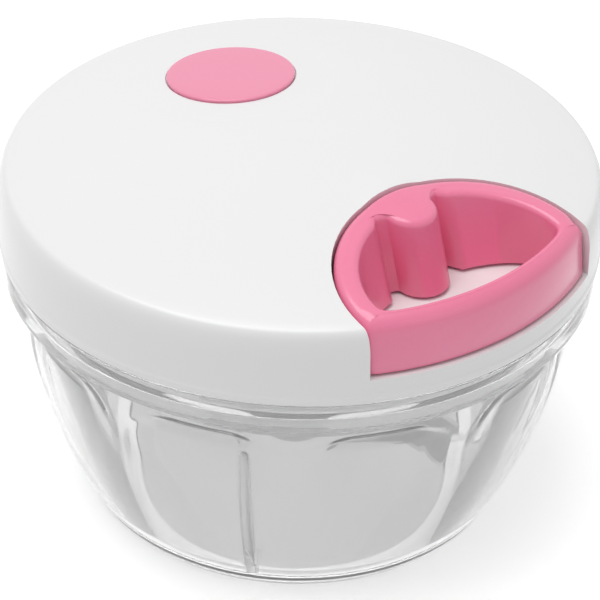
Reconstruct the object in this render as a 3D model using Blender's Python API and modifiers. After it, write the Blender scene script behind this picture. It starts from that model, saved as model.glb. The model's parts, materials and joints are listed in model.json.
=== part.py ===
"""Pull-cord food chopper: a clear bowl with a bladed post, under a domed lid that holds a cord reel.

Run with blender --background --python part.py, or from Blender's text editor. Metres, +Z up. The origin is
the centre of the bowl's base, and the handle pulls out along -Y.
"""

import math

import bmesh
import bpy
from mathutils import Matrix, Vector

# Clearances
GAP = 0.0003  # between pieces that touch
SLIDE_GAP = 0.0005  # round the handle in its pocket

# The lid's radius, which the bowl, the lid base and the handle follow
LID_R = 0.0625

# Bowl
BOWL_HEIGHT = 0.060
COLLAR_SETBACK = 0.0005  # the collar's edge lies this far inside the lid's
COLLAR_WALL = 0.0024
COLLAR_R = LID_R - COLLAR_SETBACK
COLLAR_BORE_R = COLLAR_R - COLLAR_WALL
RIM_R = COLLAR_BORE_R - 0.00055
BASE_TAPER = 0.01405  # how much the bowl narrows from its rim to its base
BASE_R = RIM_R - BASE_TAPER
WALL_POWER = 2.2  # how quickly the wall steepens towards the rim
BOWL_WALL = 0.0022
FLOOR_TOP = 0.0028
FOOT_RECESS = 0.0008
FOOT_RING_WIDTH = 0.0045
FOOT_RING_R = BASE_R - FOOT_RING_WIDTH
FLOOR_CORNER = 0.003
COLLAR_BOTTOM = BOWL_HEIGHT - 0.0067
COLLAR_EDGE = 0.0006
SHOULDER_Z = BOWL_HEIGHT - 0.0045
FACET_COUNT = 10
FACET_HALF_ANGLE = math.radians(17.1)
FACET_TOP = COLLAR_BOTTOM - 0.0053
FACET_CORNER_R = 0.0095
FACET_DEPTH = 0.0014
FACET_SCOOP = 0.0016  # height of the hollow that closes a facet at its top
FACET_LEDGE = 0.0022
FACET_TURN = math.radians(-113.7)
WEB_TURN = FACET_TURN + math.pi / FACET_COUNT  # the strip between two facets
RIB_COUNT = 4
RIB_TURN = math.radians(-140.0)
RIB_WIDTH = 0.0017
RIB_DEPTH = 0.0024
RIB_TOP = FACET_TOP - 0.004
PIN_BOSS_R = 0.006
PIN_BOSS_TOP = 0.0035
PIN_R = 0.0020
PIN_TOP = 0.0155
PIN_SOCKET_Z = 0.0015

# Twist lock
LOCK_COUNT = 4
LEDGE_HALF_ANGLE = math.radians(11.0)
LEDGE_TURN = math.radians(-135.0)
LEDGE_DEPTH = 0.0011
LEDGE_HEIGHT = 0.0011
LUG_HALF_ANGLE = math.radians(8.0)
LUG_LEAD = math.radians(21.0)  # from a lug at rest to the ledge that it turns under
LUG_HEIGHT = 0.0012

# Lid base
LID_BOTTOM = BOWL_HEIGHT + 0.0008
PLATE_TOP = LID_BOTTOM + 0.0021
PLATE_THICKNESS = 0.0019
SKIRT_R = COLLAR_BORE_R - 0.0014
SKIRT_BOTTOM = BOWL_HEIGHT - 0.0028
SEAL_WIDTH = 0.0019
PLUG_R = SKIRT_R - SEAL_WIDTH
PLUG_WALL = 0.0017
PLUG_CONE_Z = SKIRT_BOTTOM - 0.0052
PLUG_TAPER = 0.0047
PLUG_TIP_R = PLUG_R - PLUG_TAPER
PLUG_TIP_Z = PLUG_CONE_Z - 0.0075
BUSH_TUBE_R = 0.0080
BUSH_TUBE_BOTTOM = PLATE_TOP - 0.0079

# Drive
SHAFT_R = 0.0040
BUSH_WALL = 0.0010
BUSH_FLANGE_R = 0.0072
BUSH_FLANGE = 0.0008
SHAFT_SQUARE = 0.0028
TONGUE_HALF_WIDTH = 0.0014
CLIP_GROOVE_R = 0.0030
CLIP_THICKNESS = 0.0009
CLIP_R = 0.0060
RATCHET_TEETH = 12
RATCHET_R = 0.0134
RATCHET_ROOT_R = 0.0116
RATCHET_BOTTOM = PLATE_TOP + 0.0006
RATCHET_THICKNESS = 0.0028
SHAFT_TOP = RATCHET_BOTTOM + RATCHET_THICKNESS

# Reel, cord and recoil spring
REEL_BOTTOM = SHAFT_TOP + 0.0007
REEL_R = 0.0215
REEL_FLANGE = 0.0012
REEL_GROOVE_R = 0.0175
REEL_GROOVE_HEIGHT = 0.0091  # the wound turns, and above them the cord on its way out
REEL_TOP = REEL_BOTTOM + 2 * REEL_FLANGE + REEL_GROOVE_HEIGHT
REEL_WELL_R = 0.0157
REEL_WEB = 0.0024
SPINDLE_R = 0.0025
ARBOR_R = 0.0040
SPINDLE_CLIP_R = 0.0046
SPINDLE_CLIP_THICKNESS = 0.0008
CORD_R = 0.0008
CORD_PITCH = 0.00205
CORD_TURNS = 2.4
CORD_OUTLET_OUT = 0.0225  # where the wound cord's tangent crosses the lid's centre plane
CORD_Z = REEL_TOP - 0.0031
CORD_LEVEL_RUN = 0.0088  # the cord keeps its height until it is past the reel's other turns
SPRING_TURNS = 4.5
SPRING_THICKNESS = 0.0005
SPRING_HEIGHT = REEL_GROOVE_HEIGHT - 0.0013
REEL_CAP_THICKNESS = 0.0010
REEL_CAP_TOP = REEL_TOP + GAP + REEL_CAP_THICKNESS
PAWL_PIVOT_R = 0.0176
PAWL_POST_R = 0.0014
PAWL_EYE_R = 0.0027
PAWL_THICKNESS = 0.0026
PAWL_REACH = math.radians(38.0)
PAWL_TURN = math.radians(10.0)
PAWL_NOSE_ROOM = 0.026  # radians from the tooth's steep face to the nose

# Lid cover; its top clears the reel's cap
LID_SIDE_DRAFT = 0.0019
LID_SHOULDER_R = LID_R - LID_SIDE_DRAFT
LID_SHOULDER_ROUND = 0.0024
LID_DOME_R = LID_SHOULDER_R - LID_SHOULDER_ROUND
LID_DOME_RADIUS = 0.280
LID_WALL = 0.0020
LID_TOP = REEL_CAP_TOP + 0.0012 + LID_WALL
LID_SHOULDER_Z = LID_TOP - 0.0092
SPINDLE_TOP = LID_TOP - LID_WALL

# Handle and its pocket; X is across, "out" is the distance from the lid's axis towards -Y
HANDLE_HALF_WIDTH = 0.0283
HANDLE_INNER = 0.027
HANDLE_SETBACK = 0.0021  # the outer face lies this far inside the lid's edge
HANDLE_FACE_R = LID_R - HANDLE_SETBACK
HANDLE_WIDEST = HANDLE_FACE_R - 0.0104
HANDLE_FACE_DRAFT = 0.0011
HANDLE_BOTTOM = LID_BOTTOM + 0.0059
HANDLE_PROUD = 0.0004
HANDLE_ROUND = 0.0016
HANDLE_FACE_ROUND = 0.0028
HANDLE_BAR = 0.0049
HANDLE_FRONT_BAR = 0.0051
GAP_FACE_R = HANDLE_FACE_R - HANDLE_FRONT_BAR
GAP_BACK_TOP = 0.0320
GAP_BACK_BOTTOM = 0.0385
BOSS_HALF_WIDTH = 0.0053
BOSS_TIP_TOP = 0.0385
BOSS_TIP_BOTTOM = 0.0432
POCKET_FLOOR = HANDLE_BOTTOM - SLIDE_GAP
POCKET_WALL = 0.0018

# Badge
BADGE_R = 0.0137
BADGE_OUT = 0.0296
BADGE_TURN = math.radians(-8.5)
BADGE_SEAT_DEPTH = 0.0007
BADGE_PROUD = 0.0004

# Blades and their post
POST_TOP = BOWL_HEIGHT - 0.0085
POST_HEAD_R = 0.0074
POST_R = 0.0058
POST_FOOT_R = 0.0095
POST_FOOT_Z = 0.0038
SOCKET_R = 0.0050
SOCKET_FLOOR = POST_TOP - 0.0065
TONGUE_BOTTOM = SOCKET_FLOOR + 0.0005
LOBE_HALF_WIDTH = 0.0018
LOBE_INNER = 0.0031
BLADE_HEIGHTS = (0.0095, 0.0225, 0.0355)
BLADE_TURN = math.radians(-63.0)
BLADE_STEP = math.radians(120.0)
BLADE_CLEARANCE = 0.0024  # from the lowest blade's tip to the ribs
BLADE_TIP_BACK = 0.0015
BLADE_ROOT_R = 0.0032
BLADE_ROOT_HALF = 0.0036
BLADE_BULGE = 0.0052
BLADE_HOOK = 0.0036
BLADE_THICKNESS = 0.0010
BLADE_GRIND = 0.0016

# Fasteners of the lid
SCREW_COUNT = 3
SCREW_OUT = LID_R - 0.0145
SCREW_R = 0.0012
SCREW_HEAD_R = 0.0026
SCREW_HEAD_HEIGHT = 0.0013
SCREW_TOP = PLATE_TOP + 0.0081
SCREW_BOSS_R = 0.0034

# Small cord parts
EYELET_R = 0.0019
EYELET_BORE_R = 0.0012
EYELET_FLANGE_R = 0.0029
EYELET_FLANGE = 0.0007
CORD_HOLE_R = 0.0012
KNOT_R = 0.0021
KNOT_ROOM_R = 0.0029
KNOT_ROOM_OUT = 0.0355
KNOT_ROOM_TOP = CORD_Z + 0.0031
PLUG_THICKNESS = 0.0014
EYELET_FACE_OUT = HANDLE_INNER - SLIDE_GAP - POCKET_WALL - GAP - EYELET_FLANGE

# Fineness
LID_STEPS = 56
BOWL_STEPS = 6 * FACET_COUNT
ROUND_STEPS = 48
REEL_STEPS = 32
SMALL_STEPS = 24
PIN_STEPS = 12
MERGE = 0.00001

PALETTE = {
    "clear": ((0.93, 0.95, 0.96, 1.0), 0.08, 0.0),
    "white": ((0.86, 0.86, 0.86, 1.0), 0.32, 0.0),
    "pink": ((0.83, 0.26, 0.43, 1.0), 0.28, 0.0),
    "steel": ((0.62, 0.63, 0.65, 1.0), 0.22, 1.0),
    "grey": ((0.42, 0.43, 0.45, 1.0), 0.45, 0.0),
    "rubber": ((0.80, 0.80, 0.80, 1.0), 0.60, 0.0),
    "cord": ((0.90, 0.89, 0.86, 1.0), 0.85, 0.0),
}


def clear_scene():
    """Removes whatever the scene holds."""
    for old in list(bpy.data.objects):
        bpy.data.objects.remove(old, do_unlink=True)


def new_collection(name):
    made = bpy.data.collections.new(name)
    bpy.context.scene.collection.children.link(made)
    return made


def new_material(name):
    colour, roughness, metallic = PALETTE[name]
    made = bpy.data.materials.new(name)
    made.use_nodes = True
    shader = made.node_tree.nodes["Principled BSDF"]
    shader.inputs["Base Color"].default_value = colour
    shader.inputs["Roughness"].default_value = roughness
    shader.inputs["Metallic"].default_value = metallic
    made.diffuse_color = colour
    return made


clear_scene()
PARTS = new_collection("pull_cord_chopper")
CUTTERS = new_collection("cutters")


def place(name, data, finish=None):
    """A new object in the parts when it has a finish, and otherwise a cutter."""
    made = bpy.data.objects.new(name, data)
    if finish:
        data.materials.append(new_material(finish))
        PARTS.objects.link(made)
    else:
        made.hide_render = True
        made.display_type = "WIRE"
        CUTTERS.objects.link(made)
    return made


def shade(mesh):
    mesh.shade_smooth()
    mesh.set_sharp_from_angle(angle=math.radians(35.0))


def turned(name, profile, finish=None, steps=ROUND_STEPS, start=0.0):
    """A turned shape from (radius, height) points that run down its outer side; a ring's section closes."""
    mesh = bpy.data.meshes.new(name)
    points = [(r * math.cos(start), r * math.sin(start), z) for r, z in profile]
    edges = [(i, i + 1) for i in range(len(points) - 1)]
    if profile[0][0] > 0 or profile[-1][0] > 0:
        edges.append((len(points) - 1, 0))
    mesh.from_pydata(points, edges, [])
    made = place(name, mesh, finish)
    screw = made.modifiers.new("Turn", "SCREW")
    screw.axis = "Z"
    screw.steps = steps
    screw.render_steps = steps
    screw.use_merge_vertices = True
    screw.merge_threshold = MERGE
    screw.use_normal_calculate = False
    screw.use_smooth_shade = True
    return made


def flat(name, loops, low, high, finish=None):
    """A flat outline, the first loop outside and the others holes, from height low to high."""
    curve = bpy.data.curves.new(name, "CURVE")
    curve.dimensions = "2D"
    curve.fill_mode = "BOTH"
    curve.extrude = (high - low) / 2
    for loop in loops:
        spline = curve.splines.new("POLY")
        spline.points.add(len(loop) - 1)
        for point, (x, y) in zip(spline.points, loop):
            point.co = (x, y, 0.0, 1.0)
        spline.use_cyclic_u = True
    guide = bpy.data.objects.new(name + "_outline", curve)
    CUTTERS.objects.link(guide)
    mesh = as_mesh(guide)
    mesh.transform(Matrix.Translation((0.0, 0.0, (low + high) / 2)))
    mesh.name = name
    bpy.data.objects.remove(guide, do_unlink=True)
    return place(name, mesh, finish)


def tube(name, points, radius, finish, resolution=2):
    """A round bar along the points, with filled caps."""
    curve = bpy.data.curves.new(name, "CURVE")
    curve.dimensions = "3D"
    curve.bevel_depth = radius
    curve.bevel_resolution = resolution
    curve.use_fill_caps = True
    spline = curve.splines.new("POLY")
    spline.points.add(len(points) - 1)
    for point, (x, y, z) in zip(spline.points, points):
        point.co = (x, y, z, 1.0)
    guide = bpy.data.objects.new(name + "_line", curve)
    CUTTERS.objects.link(guide)
    mesh = as_mesh(guide)
    mesh.name = name
    bpy.data.objects.remove(guide, do_unlink=True)
    shade(mesh)
    return place(name, mesh, finish)


def as_mesh(guide):
    """The evaluated mesh of an object, with its doubles welded and its faces pointing out."""
    graph = bpy.context.evaluated_depsgraph_get()
    graph.update()
    mesh = bpy.data.meshes.new_from_object(guide.evaluated_get(graph), depsgraph=graph)
    work = bmesh.new()
    work.from_mesh(mesh)
    bmesh.ops.remove_doubles(work, verts=work.verts, dist=MERGE)
    bmesh.ops.recalc_face_normals(work, faces=work.faces)
    work.to_mesh(mesh)
    work.free()
    return mesh


def cylinder(name, radius, low, high, at=(0.0, 0.0), steps=PIN_STEPS, finish=None):
    """An upright cylinder between two heights."""
    mesh = bpy.data.meshes.new(name)
    work = bmesh.new()
    bmesh.ops.create_cone(work, cap_ends=True, segments=steps, radius1=radius, radius2=radius, depth=high - low)
    bmesh.ops.translate(work, verts=work.verts, vec=(at[0], at[1], (low + high) / 2))
    work.to_mesh(mesh)
    work.free()
    return place(name, mesh, finish)


def block(name, low, high):
    """A box cutter between two corners."""
    mesh = bpy.data.meshes.new(name)
    work = bmesh.new()
    bmesh.ops.create_cube(work, size=1.0)
    size = [b - a for a, b in zip(low, high)]
    bmesh.ops.scale(work, verts=work.verts, vec=size)
    bmesh.ops.translate(work, verts=work.verts, vec=[(a + b) / 2 for a, b in zip(low, high)])
    work.to_mesh(mesh)
    work.free()
    return place(name, mesh)


def combine(target, other, operation):
    """Cuts, joins or intersects target with other, with an exact Boolean that stays on it."""
    change = target.modifiers.new(other.name, "BOOLEAN")
    change.operation = operation
    change.solver = "EXACT"
    change.object = other


def cut(target, *cutters):
    for cutter in cutters:
        combine(target, cutter, "DIFFERENCE")


def join(target, *others):
    for other in others:
        combine(target, other, "UNION")


def spun(tool, name, angle):
    """A copy of a cutter, turned about the chopper's axis."""
    made = place(name, tool.data)
    made.rotation_euler = (0.0, 0.0, angle)
    return made


def frozen(name, source):
    """A cutter that holds the finished mesh of another."""
    return place(name, as_mesh(source))


def polar(radius, angle):
    return (radius * math.cos(angle), radius * math.sin(angle))


def arc(centre, radius, start, end, steps):
    """Points along an arc, both ends included, with angles in degrees."""
    points = []
    for i in range(steps + 1):
        angle = math.radians(start + (end - start) * i / steps)
        points.append((centre[0] + radius * math.cos(angle), centre[1] + radius * math.sin(angle)))
    return points


# Bowl


def wall_radius(z):
    return BASE_R + (RIM_R - BASE_R) * (1.0 - (1.0 - z / BOWL_HEIGHT) ** WALL_POWER)


def facet_distance(z):
    """How far from the axis a facet lies: it is pressed a little way into the round wall."""
    return wall_radius(z) - FACET_DEPTH


def bowl_outside():
    corner = COLLAR_EDGE
    profile = [(0.0, BOWL_HEIGHT), (COLLAR_R - corner, BOWL_HEIGHT), (COLLAR_R, BOWL_HEIGHT - corner)]
    profile += [(COLLAR_R, COLLAR_BOTTOM + corner), (COLLAR_R - corner, COLLAR_BOTTOM)]
    steps = 9
    for i in range(steps):
        z = COLLAR_BOTTOM + (FOOT_RECESS - COLLAR_BOTTOM) * i / (steps - 1)
        profile.append((wall_radius(z), z))
    profile += [(BASE_R - FOOT_RECESS / 2, 0.0), (FOOT_RING_R, 0.0), (FOOT_RING_R - FOOT_RECESS, FOOT_RECESS)]
    profile.append((0.0, FOOT_RECESS))
    return turned("bowl", profile, "clear", BOWL_STEPS, WEB_TURN)


def bowl_inside():
    """The room inside the bowl, from the floor to above the collar."""
    above = BOWL_HEIGHT + 0.005
    profile = [(0.0, above), (COLLAR_BORE_R, above), (COLLAR_BORE_R, SHOULDER_Z)]
    steps = 7
    low = FLOOR_TOP + FLOOR_CORNER
    for i in range(steps):
        z = SHOULDER_Z + (low - SHOULDER_Z) * i / (steps - 1)
        profile.append((wall_radius(z) - BOWL_WALL, z))
    side = wall_radius(low) - BOWL_WALL
    profile += [(side - 0.4 * FLOOR_CORNER, FLOOR_TOP + 0.35 * FLOOR_CORNER), (side - FLOOR_CORNER, FLOOR_TOP)]
    profile.append((0.0, FLOOR_TOP))
    return turned("bowl_room", profile, None, BOWL_STEPS, WEB_TURN)


def facet_section(inset, low):
    """A facet's cut in the plane of radius and height: its face inside, past the wall outside."""
    face = []
    steps = 7
    bend = FACET_TOP - FACET_SCOOP
    for i in range(steps):
        z = low + (bend - low) * i / (steps - 1)
        face.append((facet_distance(z) - inset, z))
    face.append((facet_distance(bend) - inset + 0.35 * FACET_DEPTH, bend + 0.7 * FACET_SCOOP))
    face.append((wall_radius(FACET_TOP) - inset + 0.0002, FACET_TOP))
    beyond = COLLAR_R + 0.008
    return [(beyond, low)] + face + [(beyond, FACET_TOP)]


def facet_tool(name, inset, low):
    """One facet's cutter, facing +X: a ring of its section, cut to an arch in front view."""
    section = turned(name + "_section", facet_section(inset, low)[::-1], None, BOWL_STEPS)
    corner = FACET_CORNER_R
    share = math.sin(FACET_HALF_ANGLE)
    foot = (facet_distance(low) - inset) * share
    waist = (facet_distance(FACET_TOP / 2) - inset) * share
    half = (facet_distance(FACET_TOP) - inset) * share
    outline = [(-foot, low - 0.001), (foot, low - 0.001), (waist, FACET_TOP / 2)]
    outline += arc((half - corner, FACET_TOP + 0.0002 - corner), corner, 0, 90, 4)
    outline += arc((corner - half, FACET_TOP + 0.0002 - corner), corner, 90, 180, 4)
    outline.append((-waist, FACET_TOP / 2))
    front = flat(name + "_front", [outline], BASE_R * 0.7, COLLAR_R + 0.006)
    front.data.transform(Matrix(((0, 0, 1, 0), (1, 0, 0, 0), (0, 1, 0, 0), (0, 0, 0, 1))))
    combine(section, front, "INTERSECT")
    return frozen(name, section)


def make_bowl():
    bowl = bowl_outside()
    room = bowl_inside()
    outer = facet_tool("facet", 0.0, FACET_LEDGE)
    inner = facet_tool("facet_inside", BOWL_WALL, FLOOR_TOP - 0.002)
    for i in range(FACET_COUNT):
        angle = FACET_TURN + math.tau * i / FACET_COUNT
        cut(bowl, spun(outer, f"facet_{i}", angle))
        cut(room, spun(inner, f"facet_inside_{i}", angle))
    for i in range(RIB_COUNT):
        angle = RIB_TURN + math.tau * i / RIB_COUNT
        cut(room, rib(f"rib_{i}", angle))
    for i in range(LOCK_COUNT):
        angle = LEDGE_TURN + math.tau * i / LOCK_COUNT
        cut(room, lock_ledge(f"ledge_{i}", angle))
    boss = cylinder("pin_boss", PIN_BOSS_R, 0.0, PIN_BOSS_TOP, steps=SMALL_STEPS)
    cut(room, boss)
    cut(bowl, room, cylinder("pin_socket", PIN_R + GAP, PIN_SOCKET_Z, BOWL_HEIGHT))
    return bowl


def rib_edge(z):
    """Distance of the rib's inner edge from the axis."""
    return facet_distance(z) - BOWL_WALL - RIB_DEPTH


def rib(name, angle):
    """A thin upright rib left standing on the bowl's inner wall."""
    section = [(BASE_R, 0.0), (rib_edge(FLOOR_TOP), 0.0)]
    steps = 5
    for i in range(steps + 1):
        z = FLOOR_TOP + (RIB_TOP - FLOOR_TOP) * i / steps
        section.append((rib_edge(z), z))
    section.append((wall_radius(RIB_TOP), RIB_TOP + RIB_DEPTH))
    for i in range(steps):
        z = RIB_TOP * (1.0 - i / steps)
        section.append((wall_radius(z), z))
    made = flat(name, [section], -RIB_WIDTH / 2, RIB_WIDTH / 2)
    made.data.transform(Matrix.Rotation(math.radians(90.0), 4, "X"))
    made.rotation_euler = (0.0, 0.0, angle)
    return made


def lock_ledge(name, angle):
    """A short ledge inside the collar, which a lug of the lid turns under."""
    half = math.degrees(LEDGE_HALF_ANGLE)
    loop = arc((0.0, 0.0), COLLAR_BORE_R - LEDGE_DEPTH, -half, half, 6)
    loop += arc((0.0, 0.0), COLLAR_BORE_R + 0.001, half, -half, 6)
    made = flat(name, [loop], BOWL_HEIGHT - LEDGE_HEIGHT, BOWL_HEIGHT)
    made.rotation_euler = (0.0, 0.0, angle)
    return made


def make_pivot_pin():
    bottom = PIN_SOCKET_Z + GAP
    nose = PIN_R / 3
    profile = [(0.0, PIN_TOP), (PIN_R - nose, PIN_TOP), (PIN_R, PIN_TOP - nose), (PIN_R, bottom), (0.0, bottom)]
    return turned("pivot_pin", profile, "steel", PIN_STEPS)


# Lid seal and lid base


def make_seal():
    low = SHOULDER_Z + GAP
    high = SKIRT_BOTTOM - GAP
    middle = (low + high) / 2
    inner = PLUG_R + GAP
    edge = SKIRT_R - 0.0002
    profile = [(edge, high), (SKIRT_R, middle), (edge, low), (inner, low), (inner, high)]
    return turned("lid_seal", profile, "rubber")


def make_lid_base():
    below = PLATE_TOP - PLATE_THICKNESS
    plate_r = LID_R - LID_WALL - 0.0006
    bush_hole = SHAFT_R + GAP + BUSH_WALL + GAP
    profile = [(plate_r, PLATE_TOP), (plate_r, below), (SKIRT_R, below), (SKIRT_R, SKIRT_BOTTOM)]
    profile += [(PLUG_R, SKIRT_BOTTOM), (PLUG_R, PLUG_CONE_Z), (PLUG_TIP_R, PLUG_TIP_Z)]
    profile += [(PLUG_TIP_R - PLUG_WALL, PLUG_TIP_Z), (PLUG_R - PLUG_WALL, PLUG_CONE_Z + 0.0004)]
    profile += [(PLUG_R - PLUG_WALL, below), (BUSH_TUBE_R, below), (BUSH_TUBE_R, BUSH_TUBE_BOTTOM)]
    profile += [(bush_hole, BUSH_TUBE_BOTTOM), (bush_hole, PLATE_TOP)]
    base = turned("lid_base", profile, "white")
    for i in range(LOCK_COUNT):
        join(base, lug(f"lug_{i}", LEDGE_TURN - LUG_LEAD + math.tau * i / LOCK_COUNT))
    for i in range(SCREW_COUNT):
        cut(base, cylinder(f"screw_hole_{i}", SCREW_R + GAP, below - 0.002, PLATE_TOP + 0.002, screw_place(i)))
    return base


def lug(name, angle):
    half = math.degrees(LUG_HALF_ANGLE)
    top = BOWL_HEIGHT - LEDGE_HEIGHT - GAP
    loop = arc((0.0, 0.0), COLLAR_BORE_R - GAP - 0.0001, -half, half, 5)
    loop += arc((0.0, 0.0), SKIRT_R - 0.0008, half, -half, 5)
    made = flat(name, [loop], top - LUG_HEIGHT, top)
    made.rotation_euler = (0.0, 0.0, angle)
    return made


def screw_place(i):
    return polar(SCREW_OUT, math.radians(90.0) + math.tau * i / SCREW_COUNT)


def make_screws():
    below = PLATE_TOP - PLATE_THICKNESS
    for i in range(SCREW_COUNT):
        head_top = below - GAP
        head_low = head_top - SCREW_HEAD_HEIGHT
        profile = [(0.0, SCREW_TOP), (SCREW_R / 2, SCREW_TOP), (SCREW_R, SCREW_TOP - SCREW_R)]
        profile += [(SCREW_R, head_top), (SCREW_HEAD_R, head_top), (SCREW_HEAD_R, head_low + 0.0005)]
        profile += [(SCREW_HEAD_R - 0.0006, head_low), (0.0, head_low)]
        screw = turned(f"cover_screw_{i + 1}", profile, "steel", PIN_STEPS)
        slot_low = head_low - 0.001
        bars = block(f"screw_slot_{i}", (-0.0016, -0.0003, slot_low), (0.0016, 0.0003, head_low + 0.0006))
        cut(screw, bars)
        x, y = screw_place(i)
        screw.location = (x, y, 0.0)
        bars.location = (x, y, 0.0)


# Lid cover


def dome_height(radius):
    """Height of the lid's top at a radius."""
    return LID_TOP - LID_DOME_RADIUS + math.sqrt(LID_DOME_RADIUS**2 - radius**2)


def lid_section(inset):
    """The lid's outer line from the axis down to its side, moved in by inset."""
    profile = []
    steps = 6 if inset == 0.0 else 4
    dome_end = LID_DOME_R - inset
    for i in range(steps):
        r = dome_end * i / (steps - 1)
        profile.append((r, dome_height(r) - inset))
    corner = profile[-1]
    side = (LID_SHOULDER_R - inset, LID_SHOULDER_Z)
    for share in (0.3, 0.55, 0.78):
        bend = share * share
        r = corner[0] + (side[0] - corner[0]) * math.sin(share * math.pi / 2)
        z = corner[1] + (side[1] - corner[1]) * (0.25 * share + 0.75 * bend)
        profile.append((r, z))
    profile.append(side)
    return profile


def outer_side(z):
    """Radius of the lid's side wall at a height."""
    share = (LID_SHOULDER_Z - z) / (LID_SHOULDER_Z - LID_BOTTOM)
    return LID_SHOULDER_R + (LID_R - LID_SHOULDER_R) * share


def half_outline(grow):
    """The handle's outline for x >= 0, from its inner end to its widest place, grown by a clearance."""
    points = []
    steps = 12
    a = HANDLE_HALF_WIDTH + grow
    b = HANDLE_WIDEST - HANDLE_INNER + grow
    for i in range(steps + 1):
        turn = math.pi / 2 * i / steps
        points.append((a * math.sin(turn), HANDLE_WIDEST - b * math.cos(turn)))
    return points


def pocket_loop(grow):
    """The pocket's outline, open past the lid's rim."""
    half = half_outline(grow)
    right = [(x, -out) for x, out in half] + [(HANDLE_HALF_WIDTH + grow, -LID_R - 0.010)]
    left = [(-x, y) for x, y in reversed(right)]
    return right + left[:-1]


def cover_room():
    """The hollow under the lid's cover, with its bosses and the pocket's walls left out of it."""
    profile = lid_section(LID_WALL)
    low = LID_BOTTOM - 0.006
    profile += [(LID_R - LID_WALL, LID_BOTTOM), (LID_R - LID_WALL, low), (0.0, low)]
    room = turned("cover_room", profile, steps=LID_STEPS)
    outline = pocket_loop(SLIDE_GAP + POCKET_WALL)
    cut(room, flat("pocket_walls", [outline], POCKET_FLOOR - POCKET_WALL, LID_TOP + 0.01))
    boss_low = REEL_CAP_TOP + GAP + 0.0001
    cut(room, cylinder("spindle_boss", SPINDLE_R + 0.0027, boss_low, LID_TOP, steps=SMALL_STEPS))
    for i in range(SCREW_COUNT):
        cut(room, cylinder(f"screw_boss_{i}", SCREW_BOSS_R, PLATE_TOP + GAP, LID_TOP, screw_place(i)))
    return room


def make_lid_cover():
    profile = lid_section(0.0)
    profile += [(outer_side(LID_BOTTOM + 0.0014), LID_BOTTOM + 0.0014), (LID_R, LID_BOTTOM + 0.0010)]
    profile += [(LID_R, LID_BOTTOM + 0.0003), (LID_R - 0.0003, LID_BOTTOM), (0.0, LID_BOTTOM)]
    cover = turned("lid_cover", profile, "white", LID_STEPS)
    pocket = flat("pocket", [pocket_loop(SLIDE_GAP)], POCKET_FLOOR, LID_TOP + 0.01)
    cut(cover, pocket, cover_room())
    cut(cover, cylinder("spindle_hole", SPINDLE_R + GAP, REEL_CAP_TOP - 0.001, SPINDLE_TOP + GAP))
    for i in range(SCREW_COUNT):
        low, high = PLATE_TOP - 0.001, SCREW_TOP + 0.001
        cut(cover, cylinder(f"screw_bore_{i}", SCREW_R + GAP, low, high, screw_place(i)))
    seat = cylinder("badge_seat", BADGE_R + GAP, -BADGE_SEAT_DEPTH, 0.01, steps=REEL_STEPS)
    set_on_dome(seat)
    hole = cylinder("outlet_hole", EYELET_R + GAP, -0.004, 0.004)
    hole.data.transform(Matrix.Rotation(math.radians(90.0), 4, "X"))
    hole.location = (0.0, -(HANDLE_INNER - SLIDE_GAP - POCKET_WALL / 2), CORD_Z)
    cut(cover, seat, hole)
    return cover


def set_on_dome(piece):
    """Stands a piece on the lid's top where the badge is, square to the dome."""
    tilt = -math.asin(BADGE_OUT / LID_DOME_RADIUS)
    piece.rotation_euler = (tilt, 0.0, BADGE_TURN)
    piece.location = (*polar(BADGE_OUT, BADGE_TURN + math.pi / 2), dome_height(BADGE_OUT))


def make_badge():
    low = GAP - BADGE_SEAT_DEPTH
    profile = [(0.0, BADGE_PROUD), (BADGE_R - 0.0009, BADGE_PROUD * 0.4), (BADGE_R, -0.0001)]
    profile += [(BADGE_R, low), (0.0, low)]
    badge = turned("badge", profile, "pink", REEL_STEPS)
    set_on_dome(badge)
    return badge


# Handle


def gap_half(height_share):
    """The finger gap's outline for x >= 0, from the cord boss's tip round to the front bar."""
    back = GAP_BACK_BOTTOM + (GAP_BACK_TOP - GAP_BACK_BOTTOM) * height_share
    tip = BOSS_TIP_BOTTOM + (BOSS_TIP_TOP - BOSS_TIP_BOTTOM) * height_share
    w = BOSS_HALF_WIDTH
    points = [(w * math.sin(t), tip - w + w * math.cos(t)) for t in [math.radians(18.0 * i) for i in range(6)]]
    a = HANDLE_HALF_WIDTH - HANDLE_BAR
    b = HANDLE_WIDEST - back
    start = math.asin((w + 0.0036) / a)
    root = HANDLE_WIDEST - b * math.cos(start)
    points.append((w + 0.0004, min(root + 0.0022, tip - w - 0.0002)))
    points.append((w + 0.0013, min(root + 0.0006, tip - w - 0.0006)))
    steps = 9
    for i in range(steps):
        turn = start + (math.pi / 2 - 0.09 - start) * i / (steps - 1)
        points.append((a * math.sin(turn), HANDLE_WIDEST - b * math.cos(turn)))
    face = GAP_FACE_R
    corner = math.asin((a - 0.0012) / face)
    points.append((a - 0.0001, HANDLE_WIDEST - 0.0006))
    for i in range(7):
        turn = corner * (1.0 - i / 6)
        points.append((face * math.sin(turn), face * math.cos(turn)))
    return points


def rim_half(height_share):
    """The handle's outer outline for x >= 0, point for point with gap_half."""
    face = HANDLE_FACE_R + HANDLE_FACE_DRAFT * (1.0 - height_share)
    a = HANDLE_HALF_WIDTH
    b = HANDLE_WIDEST - HANDLE_INNER
    points = []
    for i in range(17):
        turn = math.pi / 2 * (i / 16) ** 0.9
        points.append((a * math.sin(turn), HANDLE_WIDEST - b * math.cos(turn)))
    corner = math.asin((a - 0.0010) / face)
    points.append((a, face * math.cos(corner) - 0.0010))
    for i in range(7):
        turn = corner * (1.0 - i / 6)
        points.append((face * math.sin(turn), face * math.cos(turn)))
    return points


def mirrored(half):
    """A whole loop from its x >= 0 half, which starts and ends on the centre line."""
    return half + [(-x, out) for x, out in reversed(half[1:-1])]


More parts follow.
